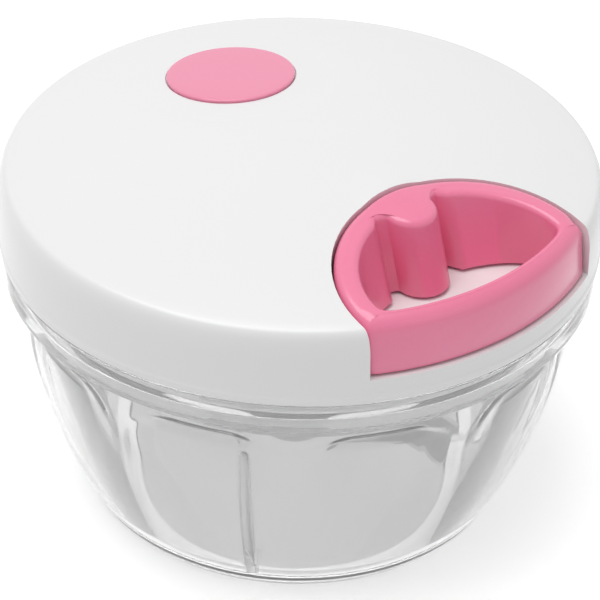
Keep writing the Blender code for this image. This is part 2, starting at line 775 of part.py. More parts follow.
def inward(loop, offsets):
    """The loop with each point moved to its left by its own offset."""
    moved = []
    count = len(loop)
    for i, (point, offset) in enumerate(zip(loop, offsets)):
        before = Vector(loop[i - 1])
        after = Vector(loop[(i + 1) % count])
        along = (after - before).normalized()
        moved.append((point[0] - along.y * offset, point[1] + along.x * offset))
    return moved


def handle_top(point):
    return dome_height(math.hypot(*point)) + HANDLE_PROUD


def edge_round(point):
    """The rounding of the outer top edge: wide along the outer face, small against the pocket."""
    front = max(0.0, min(1.0, (math.hypot(*point) - HANDLE_FACE_R + 0.0044) / 0.003))
    return HANDLE_ROUND + (HANDLE_FACE_ROUND - HANDLE_ROUND) * front


def handle_levels():
    """Closed loops of (x, out, height), from the outer bottom edge over the top to the gap's bottom edge."""
    chamfer = 0.0005
    rim_low = mirrored(rim_half(0.0))
    rim_high = mirrored(rim_half(1.0))
    gap_low = mirrored(gap_half(0.0))
    gap_high = mirrored(gap_half(1.0))
    levels = []
    levels.append([(x, o, HANDLE_BOTTOM) for x, o in inward(rim_low, [chamfer] * len(rim_low))])
    levels.append([(x, o, HANDLE_BOTTOM + chamfer) for x, o in rim_low])
    rounds = [edge_round(p) for p in rim_high]
    for turn in (0.0, 30.0, 60.0, 90.0):
        share = math.radians(turn)
        loop = inward(rim_high, [r * (1.0 - math.cos(share)) for r in rounds])
        drop = [r * (1.0 - math.sin(share)) for r in rounds]
        levels.append([(p[0], p[1], handle_top(p) - d) for p, d in zip(loop, drop)])
    for turn in (90.0, 45.0, 0.0):
        share = math.radians(turn)
        loop = inward(gap_high, [HANDLE_ROUND * (math.cos(share) - 1.0)] * len(gap_high))
        drop = HANDLE_ROUND * (1.0 - math.sin(share))
        levels.append([(p[0], p[1], handle_top(p) - drop) for p in loop])
    levels.append([(x, o, HANDLE_BOTTOM + chamfer) for x, o in gap_low])
    levels.append([(x, o, HANDLE_BOTTOM) for x, o in inward(gap_low, [-chamfer] * len(gap_low))])
    return levels


def make_handle():
    """The ring handle, lofted through its levels, with the cord's hole and the knot's room cut in its boss."""
    mesh = bpy.data.meshes.new("handle")
    work = bmesh.new()
    loops = []
    for level in handle_levels():
        loops.append([work.verts.new((x, -out, z)) for x, out, z in level])
    count = len(loops[0])
    for here, there in zip(loops, loops[1:] + loops[:1]):
        for i in range(count):
            j = (i + 1) % count
            work.faces.new((here[i], here[j], there[j], there[i]))
    bmesh.ops.recalc_face_normals(work, faces=work.faces)
    work.to_mesh(mesh)
    work.free()
    shade(mesh)
    handle = place("handle", mesh, "pink")
    room_out = KNOT_ROOM_OUT
    cut(handle, cylinder("knot_room", KNOT_ROOM_R, HANDLE_BOTTOM - 0.002, KNOT_ROOM_TOP, (0.0, -room_out)))
    hole = cylinder("cord_hole", CORD_HOLE_R, -0.006, 0.006, steps=12)
    hole.data.transform(Matrix.Rotation(math.radians(90.0), 4, "X"))
    hole.location = (0.0, -(HANDLE_INNER + 0.002), CORD_Z)
    cut(handle, hole)
    return handle


def make_handle_plug():
    low = HANDLE_BOTTOM + GAP
    radius = KNOT_ROOM_R - GAP
    profile = [(0.0, low + PLUG_THICKNESS), (radius, low + PLUG_THICKNESS), (radius, low), (0.0, low)]
    plug = turned("handle_plug", profile, "pink", PIN_STEPS)
    plug.location = (0.0, -KNOT_ROOM_OUT, 0.0)
    return plug


# Cord


def knot_out():
    """Distance of the knot's centre from the axis, with the knot against the wall that the cord pulls it to."""
    return KNOT_ROOM_OUT - KNOT_ROOM_R + GAP + KNOT_R


def make_knot():
    mesh = bpy.data.meshes.new("cord_knot")
    work = bmesh.new()
    bmesh.ops.create_uvsphere(work, u_segments=12, v_segments=8, radius=KNOT_R)
    bmesh.ops.scale(work, verts=work.verts, vec=(0.92, 1.0, 0.92))
    work.to_mesh(mesh)
    work.free()
    shade(mesh)
    knot = place("cord_knot", mesh, "cord")
    knot.location = (0.0, -knot_out(), CORD_Z)
    return knot


def winding_radius():
    return REEL_GROOVE_R + GAP + CORD_R


def tangent_angle():
    """Angle at which the cord leaves its winding, in plan."""
    return -math.pi / 2 - math.acos(winding_radius() / CORD_OUTLET_OUT)


def winding_low():
    return REEL_BOTTOM + REEL_FLANGE + GAP + CORD_R


def make_cord_winding():
    points = []
    per_turn = 18
    count = round(CORD_TURNS * per_turn)
    radius = winding_radius()
    end = tangent_angle() - GAP / radius
    for i in range(count + 1):
        turns = CORD_TURNS * i / count
        x, y = polar(radius, end - math.tau * (CORD_TURNS - turns))
        points.append((x, y, winding_low() + CORD_PITCH * turns))
    return tube("cord_winding", points, CORD_R, "cord", 1)


def make_cord_lead():
    """The cord from the reel through the eyelet to the pocket; it starts above the turn that it comes from."""
    x, y = polar(winding_radius(), tangent_angle())
    high = winding_low() + CORD_PITCH * CORD_TURNS + 2 * CORD_R + GAP
    along = Vector((0.0, -CORD_OUTLET_OUT)) - Vector((x, y))
    past = Vector((x, y)) + along.normalized() * CORD_LEVEL_RUN
    entry = -(EYELET_FACE_OUT - 0.0004)
    points = [(x, y, high), (past.x, past.y, high), (-0.0009, -(CORD_OUTLET_OUT - 0.0007), CORD_Z + 0.0003)]
    points += [(-0.0002, entry + 0.0004, CORD_Z), (0.0, entry, CORD_Z)]
    points.append((0.0, -(HANDLE_INNER - GAP), CORD_Z))
    return tube("cord_lead", points, CORD_R, "cord", 2)


def make_cord_end():
    start = HANDLE_INNER
    end = knot_out() - KNOT_R - GAP
    return tube("cord_end", [(0.0, -start, CORD_Z), (0.0, -end, CORD_Z)], CORD_R, "cord", 2)


def make_eyelet():
    """The ferrule in the pocket's wall; its flange bears on the wall from the reel's side."""
    flange = EYELET_FACE_OUT
    end = HANDLE_INNER - SLIDE_GAP - 0.0001
    profile = [(EYELET_FLANGE_R, -flange), (EYELET_FLANGE_R, -flange - EYELET_FLANGE)]
    profile += [(EYELET_R, -flange - EYELET_FLANGE), (EYELET_R, -end)]
    profile += [(EYELET_BORE_R, -end), (EYELET_BORE_R, -flange)]
    eyelet = turned("cord_eyelet", profile, "steel", PIN_STEPS)
    eyelet.rotation_euler = (math.radians(-90.0), 0.0, 0.0)
    eyelet.location = (0.0, 0.0, CORD_Z)
    return eyelet


# Reel, spring and pawls


def make_reel():
    web_top = REEL_BOTTOM + REEL_WEB
    clip_room = SPINDLE_CLIP_R + GAP
    clip_top = REEL_BOTTOM + SPINDLE_CLIP_THICKNESS
    bore = SPINDLE_R + GAP
    low = REEL_BOTTOM + REEL_FLANGE
    high = REEL_TOP - REEL_FLANGE
    profile = [(REEL_R, REEL_TOP), (REEL_R, high), (REEL_GROOVE_R, high), (REEL_GROOVE_R, low), (REEL_R, low)]
    profile += [(REEL_R, REEL_BOTTOM), (clip_room, REEL_BOTTOM), (clip_room, clip_top), (bore, clip_top)]
    profile += [(bore, web_top), (REEL_WELL_R, web_top), (REEL_WELL_R, REEL_TOP)]
    reel = turned("reel", profile, "grey", REEL_STEPS)
    for i in range(2):
        at = polar(PAWL_PIVOT_R, pawl_angle(i))
        join(reel, cylinder(f"pawl_post_{i}", PAWL_POST_R, RATCHET_BOTTOM, REEL_BOTTOM + 0.0006, at))
    return reel


def make_reel_cap():
    low = REEL_TOP + GAP
    bore = SPINDLE_R + GAP
    outer = REEL_WELL_R + 0.0012
    profile = [(outer, REEL_CAP_TOP), (outer, low), (bore, low), (bore, REEL_CAP_TOP)]
    return turned("reel_cap", profile, "grey", REEL_STEPS)


def make_spindle():
    arbor_low = REEL_BOTTOM + REEL_WEB + GAP
    arbor_top = REEL_TOP - GAP
    low = REEL_BOTTOM + GAP - SPINDLE_CLIP_THICKNESS
    profile = [(0.0, SPINDLE_TOP), (SPINDLE_R, SPINDLE_TOP), (SPINDLE_R, arbor_top), (ARBOR_R, arbor_top)]
    profile += [(ARBOR_R, arbor_low), (SPINDLE_R, arbor_low), (SPINDLE_R, low), (0.0, low)]
    return turned("spindle", profile, "steel", PIN_STEPS)


def make_spindle_clip():
    high = REEL_BOTTOM + SPINDLE_CLIP_THICKNESS - GAP
    low = REEL_BOTTOM + GAP - SPINDLE_CLIP_THICKNESS + 0.0002
    bore = SPINDLE_R + GAP
    profile = [(SPINDLE_CLIP_R, high), (SPINDLE_CLIP_R, low), (bore, low), (bore, high)]
    return turned("spindle_clip", profile, "steel", PIN_STEPS)


def make_recoil_spring():
    """A flat strip wound in a spiral in the reel's well: a ribbon along the spiral, given its thickness."""
    low = REEL_BOTTOM + REEL_WEB + 2 * GAP
    inner = ARBOR_R + GAP + SPRING_THICKNESS
    outer = REEL_WELL_R - GAP - SPRING_THICKNESS
    per_turn = 16
    count = round(SPRING_TURNS * per_turn)
    mesh = bpy.data.meshes.new("recoil_spring")
    work = bmesh.new()
    rows = []
    for i in range(count + 1):
        share = i / count
        x, y = polar(inner + (outer - inner) * share, math.tau * SPRING_TURNS * share)
        rows.append((work.verts.new((x, y, low)), work.verts.new((x, y, low + SPRING_HEIGHT))))
    for here, there in zip(rows, rows[1:]):
        work.faces.new((here[0], there[0], there[1], here[1]))
    work.to_mesh(mesh)
    work.free()
    spring = place("recoil_spring", mesh, "steel")
    strip = spring.modifiers.new("Strip", "SOLIDIFY")
    strip.thickness = SPRING_THICKNESS
    strip.offset = 0.0
    return spring


def pawl_angle(i):
    return PAWL_TURN + math.pi * i


def make_pawl(i):
    """A pawl on its post: an eye, and a nose behind the steep face of a tooth."""
    pivot = pawl_angle(i)
    tooth = pivot + PAWL_REACH
    eye = Vector(polar(PAWL_PIVOT_R, pivot))
    tip = -PAWL_NOSE_ROOM
    nose = [(RATCHET_ROOT_R + GAP, tip), (RATCHET_ROOT_R + 0.0012, -0.175), (RATCHET_R + 0.0005, -0.33)]
    back = [(RATCHET_R + 0.0042, -0.36), (RATCHET_R + 0.0022, -0.16), (RATCHET_R + 0.0007, tip)]
    start = math.degrees(pivot)
    loop = [polar(r, tooth + a) for r, a in back[:1]] + arc(eye, PAWL_EYE_R, start + 20, start - 190, 12)
    loop += [polar(r, tooth + a) for r, a in reversed(nose)]
    loop += [polar(r, tooth + a) for r, a in reversed(back[1:])]
    hole = arc(eye, PAWL_POST_R + GAP, 0, 345, 15)
    low = RATCHET_BOTTOM + 0.0001
    return flat(f"pawl_{i + 1}", [loop, hole], low, low + PAWL_THICKNESS, "steel")


# Drive


def tooth_turn():
    """Angle of the ratchet's first steep face, which a pawl's nose stands behind."""
    return pawl_angle(0) + PAWL_REACH


def make_ratchet():
    loop = []
    step = math.tau / RATCHET_TEETH
    for i in range(RATCHET_TEETH):
        face = tooth_turn() + step * i
        loop.append(polar(RATCHET_ROOT_R, face))
        loop.append(polar(RATCHET_R, face + 0.03))
        loop.append(polar((RATCHET_R + RATCHET_ROOT_R) / 2, face + step * 0.52))
    s = SHAFT_SQUARE + GAP
    hole = [(-s, -s), (s, -s), (s, s), (-s, s)]
    return flat("ratchet_wheel", [loop, hole], RATCHET_BOTTOM, RATCHET_BOTTOM + RATCHET_THICKNESS, "grey")


def make_drive_shaft():
    """The shaft: a square head in the ratchet, a clip groove, and a flat tongue in the post's socket."""
    clip_top = bush_low() - GAP
    groove_top = clip_top
    groove_low = clip_top - CLIP_THICKNESS - 2 * GAP
    tongue_top = groove_low - 0.0006
    square_low = RATCHET_BOTTOM - GAP
    profile = [(0.0, SHAFT_TOP), (SHAFT_R, SHAFT_TOP), (SHAFT_R, groove_top), (CLIP_GROOVE_R, groove_top)]
    profile += [(CLIP_GROOVE_R, groove_low), (SHAFT_R, groove_low)]
    profile += [(SHAFT_R, TONGUE_BOTTOM), (0.0, TONGUE_BOTTOM)]
    shaft = turned("drive_shaft", profile, "steel", SMALL_STEPS)
    s = SHAFT_SQUARE
    far = SHAFT_R + 0.002
    above = SHAFT_TOP + 0.002
    sides = [(s, far, -far, far), (-far, -s, -far, far), (-s, s, s, far), (-s, s, -far, -s)]
    for i, (x0, x1, y0, y1) in enumerate(sides):
        cut(shaft, block(f"square_{i}", (x0, y0, square_low), (x1, y1, above)))
    t = TONGUE_HALF_WIDTH
    for side in (-1, 1):
        low_y, high_y = sorted((side * t, side * far))
        cut(shaft, block(f"tongue_{side}", (-far, low_y, TONGUE_BOTTOM - 0.002), (far, high_y, tongue_top)))
    return shaft


def bush_low():
    return BUSH_TUBE_BOTTOM - GAP - BUSH_FLANGE


def make_bush():
    bore = SHAFT_R + GAP
    outer = bore + BUSH_WALL
    top = PLATE_TOP + 0.0002
    profile = [(outer, top), (outer, BUSH_TUBE_BOTTOM - GAP), (BUSH_FLANGE_R, BUSH_TUBE_BOTTOM - GAP)]
    profile += [(BUSH_FLANGE_R, bush_low()), (bore, bush_low()), (bore, top)]
    return turned("drive_bush", profile, "steel", SMALL_STEPS)


def make_shaft_clip():
    top = bush_low() - 2 * GAP
    bore = CLIP_GROOVE_R + GAP
    profile = [(CLIP_R, top), (CLIP_R, top - CLIP_THICKNESS), (bore, top - CLIP_THICKNESS), (bore, top)]
    clip = turned("shaft_clip", profile, "steel", SMALL_STEPS)
    cut(clip, block("clip_mouth", (0.0, -0.0022, top - 0.003), (0.010, 0.0022, top + 0.003)))
    return clip


# Blades and post


def make_post():
    """The post: a foot on the pin's boss, a bore for the pin, a socket for the drive, a slot for each blade."""
    low = POST_FOOT_Z
    bore = PIN_R + GAP + 0.0001
    bore_top = PIN_TOP + 0.0020
    profile = [(0.0, SOCKET_FLOOR), (SOCKET_R, SOCKET_FLOOR), (SOCKET_R, POST_TOP), (POST_HEAD_R, POST_TOP)]
    profile += [(POST_HEAD_R, SOCKET_FLOOR - 0.001), (POST_R, SOCKET_FLOOR - 0.0035), (POST_R, low + 0.0040)]
    profile += [(POST_R + 0.0010, low + 0.0020), (POST_FOOT_R, low + 0.0010), (POST_FOOT_R, low), (bore, low)]
    profile += [(bore, bore_top), (0.0, bore_top + 0.0008)]
    post = turned("blade_holder", profile, "white", SMALL_STEPS)
    for side in (-1, 1):
        low_y, high_y = sorted((side * LOBE_INNER, side * (SOCKET_R + 0.001)))
        lobe_low = SOCKET_FLOOR - 0.001
        far_corner = (LOBE_HALF_WIDTH, high_y, POST_TOP - 0.0005)
        join(post, block(f"lobe_{side}", (-LOBE_HALF_WIDTH, low_y, lobe_low), far_corner))
    for i, z in enumerate(BLADE_HEIGHTS):
        s = BLADE_ROOT_HALF + GAP
        half = BLADE_THICKNESS / 2 + GAP
        slot = block(f"blade_slot_{i}", (BLADE_ROOT_R - GAP, -s, z - half), (POST_HEAD_R + 0.004, s, z + half))
        slot.rotation_euler = (0.0, 0.0, blade_angle(i))
        cut(post, slot)
    return post


def blade_angle(i):
    return BLADE_TURN + BLADE_STEP * i


def blade_tip():
    """Reach of the blades: the lowest one, where the bowl is narrowest, clears the ribs."""
    return rib_edge(BLADE_HEIGHTS[0]) - BLADE_CLEARANCE


def blade_edges():
    """The cutting edge and the back of a blade that points along +X, each from root to tip."""
    straight = POST_HEAD_R
    tip = blade_tip()
    cutting = [(BLADE_ROOT_R, BLADE_ROOT_HALF)]
    back = [(BLADE_ROOT_R, -BLADE_ROOT_HALF)]
    steps = 9
    for i in range(steps + 1):
        share = i / steps
        x = straight + (tip - BLADE_TIP_BACK - straight) * share
        cutting.append((x, BLADE_ROOT_HALF + BLADE_BULGE * math.sin(0.82 * math.pi * share)))
        back.append((x, -BLADE_ROOT_HALF + 0.0014 * math.sin(math.pi * share) - BLADE_HOOK * share**3))
    cutting.append((tip, 0.0010))
    return cutting, back


def make_blade(i, name):
    """A flat blade with a ground cutting edge: the outline raised to its thickness, its top edge drawn back."""
    cutting, back = blade_edges()
    mesh = bpy.data.meshes.new(name)
    work = bmesh.new()
    low = BLADE_HEIGHTS[i] - BLADE_THICKNESS / 2
    loop = back + list(reversed(cutting))
    verts = [work.verts.new((x, y, low)) for x, y in loop]
    face = work.faces.new(verts)
    raised = bmesh.ops.extrude_face_region(work, geom=[face])
    top = [v for v in raised["geom"] if isinstance(v, bmesh.types.BMVert)]
    bmesh.ops.translate(work, verts=top, vec=(0.0, 0.0, BLADE_THICKNESS))
    for v in top:
        if v.co.y > BLADE_ROOT_HALF + 0.0001:
            v.co.y -= min(BLADE_GRIND, v.co.y - BLADE_ROOT_HALF)
    bmesh.ops.triangulate(work, faces=[f for f in work.faces if len(f.verts) > 4])
    bmesh.ops.recalc_face_normals(work, faces=work.faces)
    work.to_mesh(mesh)
    work.free()
    blade = place(name, mesh, "steel")
    blade.rotation_euler = (0.0, 0.0, blade_angle(i))
    return blade


def build():
    make_bowl()
    make_pivot_pin()
    make_seal()
    make_lid_base()
    make_screws()
    make_lid_cover()
    make_badge()
    make_handle()
    make_handle_plug()
    make_knot()
    make_cord_winding()
    make_cord_lead()
    make_cord_end()
    make_eyelet()
    make_reel()
    make_reel_cap()
    make_spindle()
    make_spindle_clip()
    make_recoil_spring()
    for i in range(2):
        make_pawl(i)
    make_ratchet()
    make_drive_shaft()
    make_bush()
    make_shaft_clip()
    make_post()
    for i, name in enumerate(("blade_low", "blade_middle", "blade_top")):
        make_blade(i, name)


build()
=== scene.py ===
import json
import math

import bmesh
import bpy
from mathutils import Matrix, Vector


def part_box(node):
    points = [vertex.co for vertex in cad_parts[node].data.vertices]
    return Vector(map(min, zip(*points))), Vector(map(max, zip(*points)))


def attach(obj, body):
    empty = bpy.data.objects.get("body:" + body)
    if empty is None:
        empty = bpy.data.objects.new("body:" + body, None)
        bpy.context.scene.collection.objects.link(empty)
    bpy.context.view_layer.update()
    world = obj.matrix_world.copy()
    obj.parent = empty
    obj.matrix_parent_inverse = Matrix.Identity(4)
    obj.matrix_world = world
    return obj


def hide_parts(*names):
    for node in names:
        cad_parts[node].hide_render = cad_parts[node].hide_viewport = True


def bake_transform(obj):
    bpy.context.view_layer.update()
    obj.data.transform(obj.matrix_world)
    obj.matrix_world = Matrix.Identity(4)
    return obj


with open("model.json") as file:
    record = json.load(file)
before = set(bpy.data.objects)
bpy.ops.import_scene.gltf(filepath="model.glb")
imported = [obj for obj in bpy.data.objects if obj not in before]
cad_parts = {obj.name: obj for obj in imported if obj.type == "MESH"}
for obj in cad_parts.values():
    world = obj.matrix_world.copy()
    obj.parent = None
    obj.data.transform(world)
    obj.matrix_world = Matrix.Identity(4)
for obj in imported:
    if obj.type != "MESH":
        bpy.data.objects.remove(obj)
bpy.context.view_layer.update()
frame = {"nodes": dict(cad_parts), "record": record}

# Sizes that the pieces share, in metres
BOWL_HEIGHT = 0.060
BASE_RADIUS = 0.0454
RIM_RADIUS = 0.05905
WALL_CURVE = 2.2
BOWL_WALL = 0.0022
BOWL_FLOOR = 0.0028
FLOOR_CORNER = 0.003
FOOT_RECESS = 0.0008
FOOT_RING = (0.0405, 0.0447)
PIN_BOSS = (0.0060, 0.0035)  # radius and top
PIN_BORE = (0.0023, 0.0015)  # radius and bottom
COLLAR_RADIUS = 0.062
COLLAR_BOTTOM = 0.0533
COLLAR_BORE = 0.0596
SHOULDER = 0.0555
BORE_ROW = 0.0009  # from the rim down to the bore's ledges
FACETS = 10
FACET_HALF_ANGLE = math.radians(17.9)
FACET_FIRST = math.radians(-112.9)
FACET_TOP = 0.0494
FACET_DEPTH = 0.0012
FACET_EDGE = 0.0017
FACET_SOFTNESS = 0.026  # how much wider a face's edge gets towards the foot
FACET_CORNER = 0.0120
FACET_FADE_LOW = 0.004  # the pressed faces run out into the round wall down here
FACET_LEDGE = 0.0022
FACET_COLUMNS = 54
ROW_LOW, ROW_ARCH = 0.0017, 0.0007  # distance between rows below the arches, and beside them
FIXED, OUTER, INNER, BORE = range(4)  # what becomes of a point of the bowl's section
RIBS = 4
RIB_FIRST = math.radians(-140.1)
RIB_HALF_WIDTH = 0.0013
RIB_DEPTH = 0.0005
RIB_TOP = 0.0435
RIB_RUN_OUT = 0.0012
LEDGES = 4
LEDGE_FIRST = math.radians(-135.0)
LEDGE_HALF_ANGLE = math.radians(11.0)
LEDGE_DEPTH = 0.0011
LEDGE_RAMP = 0.012
LUG_LEAD = math.radians(21.0)
LUG_HALF_ANGLE = math.radians(8.0)
LUG_RADII = (0.0575, 0.0592)
LUG_HEIGHTS = (0.0574, 0.0586)

LID_RADIUS = 0.0625
LID_BOTTOM = 0.0604
LID_SHOULDER_RADIUS = 0.0621
LID_SHOULDER = 0.0712
LID_DOME_EDGE = 0.0600
LID_DOME_CURVE = 0.280
LID_TOP = 0.0830
LID_WALL = 0.0020
LID_SKIN = 0.0008  # how far the solid that trims the pocket's tub lies inside the lid
LID_STEPS = 192
LID_RINGS = 34
BADGE_RADIUS = 0.0137
BADGE_PLAY = 0.00025
BADGE_SINK = 0.0002
BADGE_SEAT = 0.0009
BADGE_CROWN, BADGE_RIM, BADGE_THICKNESS = 0.00045, 0.00032, 0.0006
BADGE_OUT = 0.0296
BADGE_TURN = math.radians(-8.2)
DISH_RADIUS = 0.0222
DISH_DEPTH = 0.00022
DISH_EDGE = 0.0016
SWELL_HEIGHT = 0.0007
SWELL_HALF = 0.0068
SWELL_START, SWELL_REACH = 0.0185, 0.0085
SCREWS = 3
SCREW_OUT = 0.048
SCREW_HOLE_RADIUS = 0.0015

HANDLE_HALF = 0.0281
HANDLE_INNER = 0.027
HANDLE_WIDEST = 0.0515
HANDLE_FACE = 0.0604
HANDLE_FACE_DRAFT = 0.0011
HANDLE_BOTTOM = 0.0661
HANDLE_PROUD = 0.0004
HANDLE_ROUND = 0.0016
HANDLE_FACE_ROUND = 0.0028
HANDLE_BAR = 0.0049
HANDLE_FOOT_ROUND = 0.0006
HANDLE_CORNER = 0.0016
GAP_ROUND = 0.0013
GAP_FRONT = 0.0566
GAP_BACK_TOP = 0.0320
GAP_BACK_BOTTOM = 0.0385
BOSS_HALF = 0.0057
BOSS_TIP_TOP = 0.0385
BOSS_TIP_BOTTOM = 0.0432
BOSS_ROOT_WIDTH = 0.0036
BOSS_ROOT = ((0.0003, 0.0026, 0.0002), (0.0009, 0.0011, 0.0005), (0.0020, 0.0003, 0.0009))
BOSS_SWELL = 0.0005
BOSS_SWELL_HALF = 0.0075
BOSS_SWELL_END, BOSS_SWELL_REACH = 0.0420, 0.010
POCKET_FLOOR = 0.0657
POCKET_WALL = 0.0018
POCKET_PLAY = 0.0005

CORD_RADIUS = 0.0008
CORD_HEIGHT = 0.0754
LEAD_HEIGHT = 0.07612  # the cord leaves the reel above its other turns
LEAD_LEVEL = 0.0088
LEAD_BEND = (-0.0009, -0.0218, LEAD_HEIGHT - 0.0004)
CORD_STRAIGHT = (0.0238, 0.0320)
CORD_RINGS, CORD_SIDES = 26, 14
EYELET_HOLE = (0.0022, 0.005, 0.0256)  # radius, length and how far out its middle is
CORD_HOLE = (0.0012, 0.012, 0.029)
KNOT_ROOM = (0.0029, 0.0355, 0.0785)  # radius, how far out, and top

BLADE_HEIGHTS = (("blade_low", 0.0095), ("blade_middle", 0.0225), ("blade_top", 0.0355))
BLADE_FIRST = math.radians(-63.0)
BLADE_ROOT, BLADE_STRAIGHT, BLADE_TIP = 0.0032, 0.0074, 0.0410
BLADE_TIP_BACK = 0.0015
BLADE_HALF = 0.0036
BLADE_BULGE = 0.0052
BLADE_DIP = 0.0014
BLADE_HOOK = 0.0036
BLADE_THICKNESS = 0.0010
BLADE_GRIND = 0.0022
BLADE_SLOT = (0.0090, 0.0078, 0.0016)
BLADE_SLOT_OUT = 0.0029
SOCKET_LOBE = (0.0036, 0.0029, 0.0070)
SOCKET_LOBE_PLACE = (0.00455, 0.0475)

# Sections that are spun, as corners: radius, height and fillet
LIP_SECTION = (
    (LID_SHOULDER_RADIUS + 0.0002, LID_SHOULDER - 0.004, 0.0), (0.0623, 0.0624, 0.0008),
    (LID_RADIUS, 0.0618, 0.0004), (LID_RADIUS, LID_BOTTOM, 0.0003),
    (LID_RADIUS - LID_WALL, LID_BOTTOM, 0.0003), (LID_RADIUS - LID_WALL, 0.0640, 0.0),
)
LID_BASE_SECTION = (
    (0.0599, 0.0629, 0.0003), (0.0599, 0.0610, 0.0002), (0.0582, 0.0610, 0.0002), (0.0582, 0.0572, 0.0003),
    (0.0563, 0.0572, 0.0003), (0.0563, 0.0520, 0.0008), (0.0516, 0.0445, 0.0006), (0.0499, 0.0445, 0.0004),
    (0.0546, 0.0524, 0.0008), (0.0546, 0.0610, 0.0008), (0.0080, 0.0610, 0.0008), (0.0080, 0.0550, 0.0003),
    (0.0056, 0.0550, 0.0002), (0.0056, 0.0629, 0.0002),
)
SEAL_SECTION = (
    (0.0582, 0.0569, 0.0003), (0.05835, 0.05635, 0.0003), (0.0582, 0.0558, 0.0003), (0.0566, 0.0558, 0.0003),
    (0.0566, 0.0569, 0.0003),
)
POST_SECTION = (
    (0.0, 0.0450, 0.0), (0.0050, 0.0450, 0.0004), (0.0050, 0.0515, 0.0002), (0.0074, 0.0515, 0.0005),
    (0.0074, 0.0440, 0.0006), (0.0058, 0.0415, 0.0008), (0.0058, 0.0078, 0.0008), (0.0068, 0.0058, 0.0010),
    (0.0095, 0.0048, 0.0004), (0.0095, 0.0038, 0.0003), (0.0024, 0.0038, 0.0), (0.0024, 0.0175, 0.0),
    (0.0, 0.0183, 0.0),
)

# Camera: where it stands, in the photograph's frame
CAMERA_AZIMUTH = math.radians(-40.2)
CAMERA_RISE = math.radians(34.8)
CAMERA_ROLL = math.radians(1.7)
CAMERA_REACH = 0.5
CAMERA_LENS = 141.2
CAMERA_SHIFT = (0.0028, -0.0273)
CAMERA_AIM = Vector((0.0, 0.0, 0.045))


def put_camera():
    """The camera stands at the photograph's angle and looks at the middle of the chopper."""
    lens = bpy.data.cameras.new("photo_camera")
    lens.lens = CAMERA_LENS
    lens.sensor_width = 36.0
    lens.shift_x, lens.shift_y = CAMERA_SHIFT
    lens.clip_start = 0.02
    lens.clip_end = 20.0
    camera = bpy.data.objects.new("photo_camera", lens)
    bpy.context.scene.collection.objects.link(camera)
    flat = math.cos(CAMERA_RISE)
    back = Vector((math.sin(CAMERA_AZIMUTH) * flat, -math.cos(CAMERA_AZIMUTH) * flat, math.sin(CAMERA_RISE)))
    camera.location = CAMERA_AIM + back * CAMERA_REACH
    turn = (-back).to_track_quat("-Z", "Y").to_matrix() @ Matrix.Rotation(CAMERA_ROLL, 3, "Z")
    camera.rotation_euler = turn.to_euler()
    bpy.context.scene.camera = camera


# Shader parts that several finishes share
NUMBER = "NodeSocketFloat"


def effect_group(name, inputs, outputs):
    """A new node group with named number, colour or vector sockets."""
    group = bpy.data.node_groups.new(name, "ShaderNodeTree")
    for label, kind, value in inputs:
        socket = group.interface.new_socket(label, in_out="INPUT", socket_type=kind)
        if value is not None:
            socket.default_value = value
    for label, kind in outputs:
        group.interface.new_socket(label, in_out="OUTPUT", socket_type=kind)
    return group, group.nodes.new("NodeGroupInput"), group.nodes.new("NodeGroupOutput")


def add_node(tree, kind, inputs=None, **settings):
    """A new node with its settings, and the values of the inputs that are named."""
    node = tree.nodes.new(kind)
    for key, value in settings.items():
        setattr(node, key, value)
    for label, value in (inputs or {}).items():
        node.inputs[label].default_value = value
    return node


def math_node(tree, operation, first, second, clamp=False):
    """A Math node fed by sockets or plain numbers."""
    node = add_node(tree, "ShaderNodeMath", operation=operation, use_clamp=clamp)
    for socket, value in zip(node.inputs, (first, second)):
        if isinstance(value, (int, float)):
            socket.default_value = value
        elif value is not None:
            tree.links.new(value, socket)
    return node.outputs[0]


def make_moulded_skin():
    """Moulded plastic: a faint flow waviness, fine grain, and a roughness that drifts a little."""
    inputs = [("Grain Scale", NUMBER, 900.0), ("Roughness", NUMBER, 0.3), ("Drift", NUMBER, 0.05)]
    group, given, result = effect_group("moulded_skin", inputs, [("Roughness", NUMBER), ("Height", NUMBER)])
    place = add_node(group, "ShaderNodeTexCoord").outputs["Object"]
    grain = add_node(group, "ShaderNodeTexNoise", {"Detail": 2.0})
    group.links.new(place, grain.inputs["Vector"])
    group.links.new(given.outputs["Grain Scale"], grain.inputs["Scale"])
    flow = add_node(group, "ShaderNodeTexNoise", {"Scale": 45.0, "Detail": 1.0})
    group.links.new(place, flow.inputs["Vector"])
    drift = math_node(group, "SUBTRACT", flow.outputs[0], 0.5)
    drift = math_node(group, "MULTIPLY", drift, given.outputs["Drift"])
    rough = math_node(group, "ADD", given.outputs["Roughness"], drift, True)
    group.links.new(rough, result.inputs["Roughness"])
    height = math_node(group, "ADD", math_node(group, "MULTIPLY", grain.outputs[0], 0.35), flow.outputs[0])
    group.links.new(height, result.inputs["Height"])
    return group


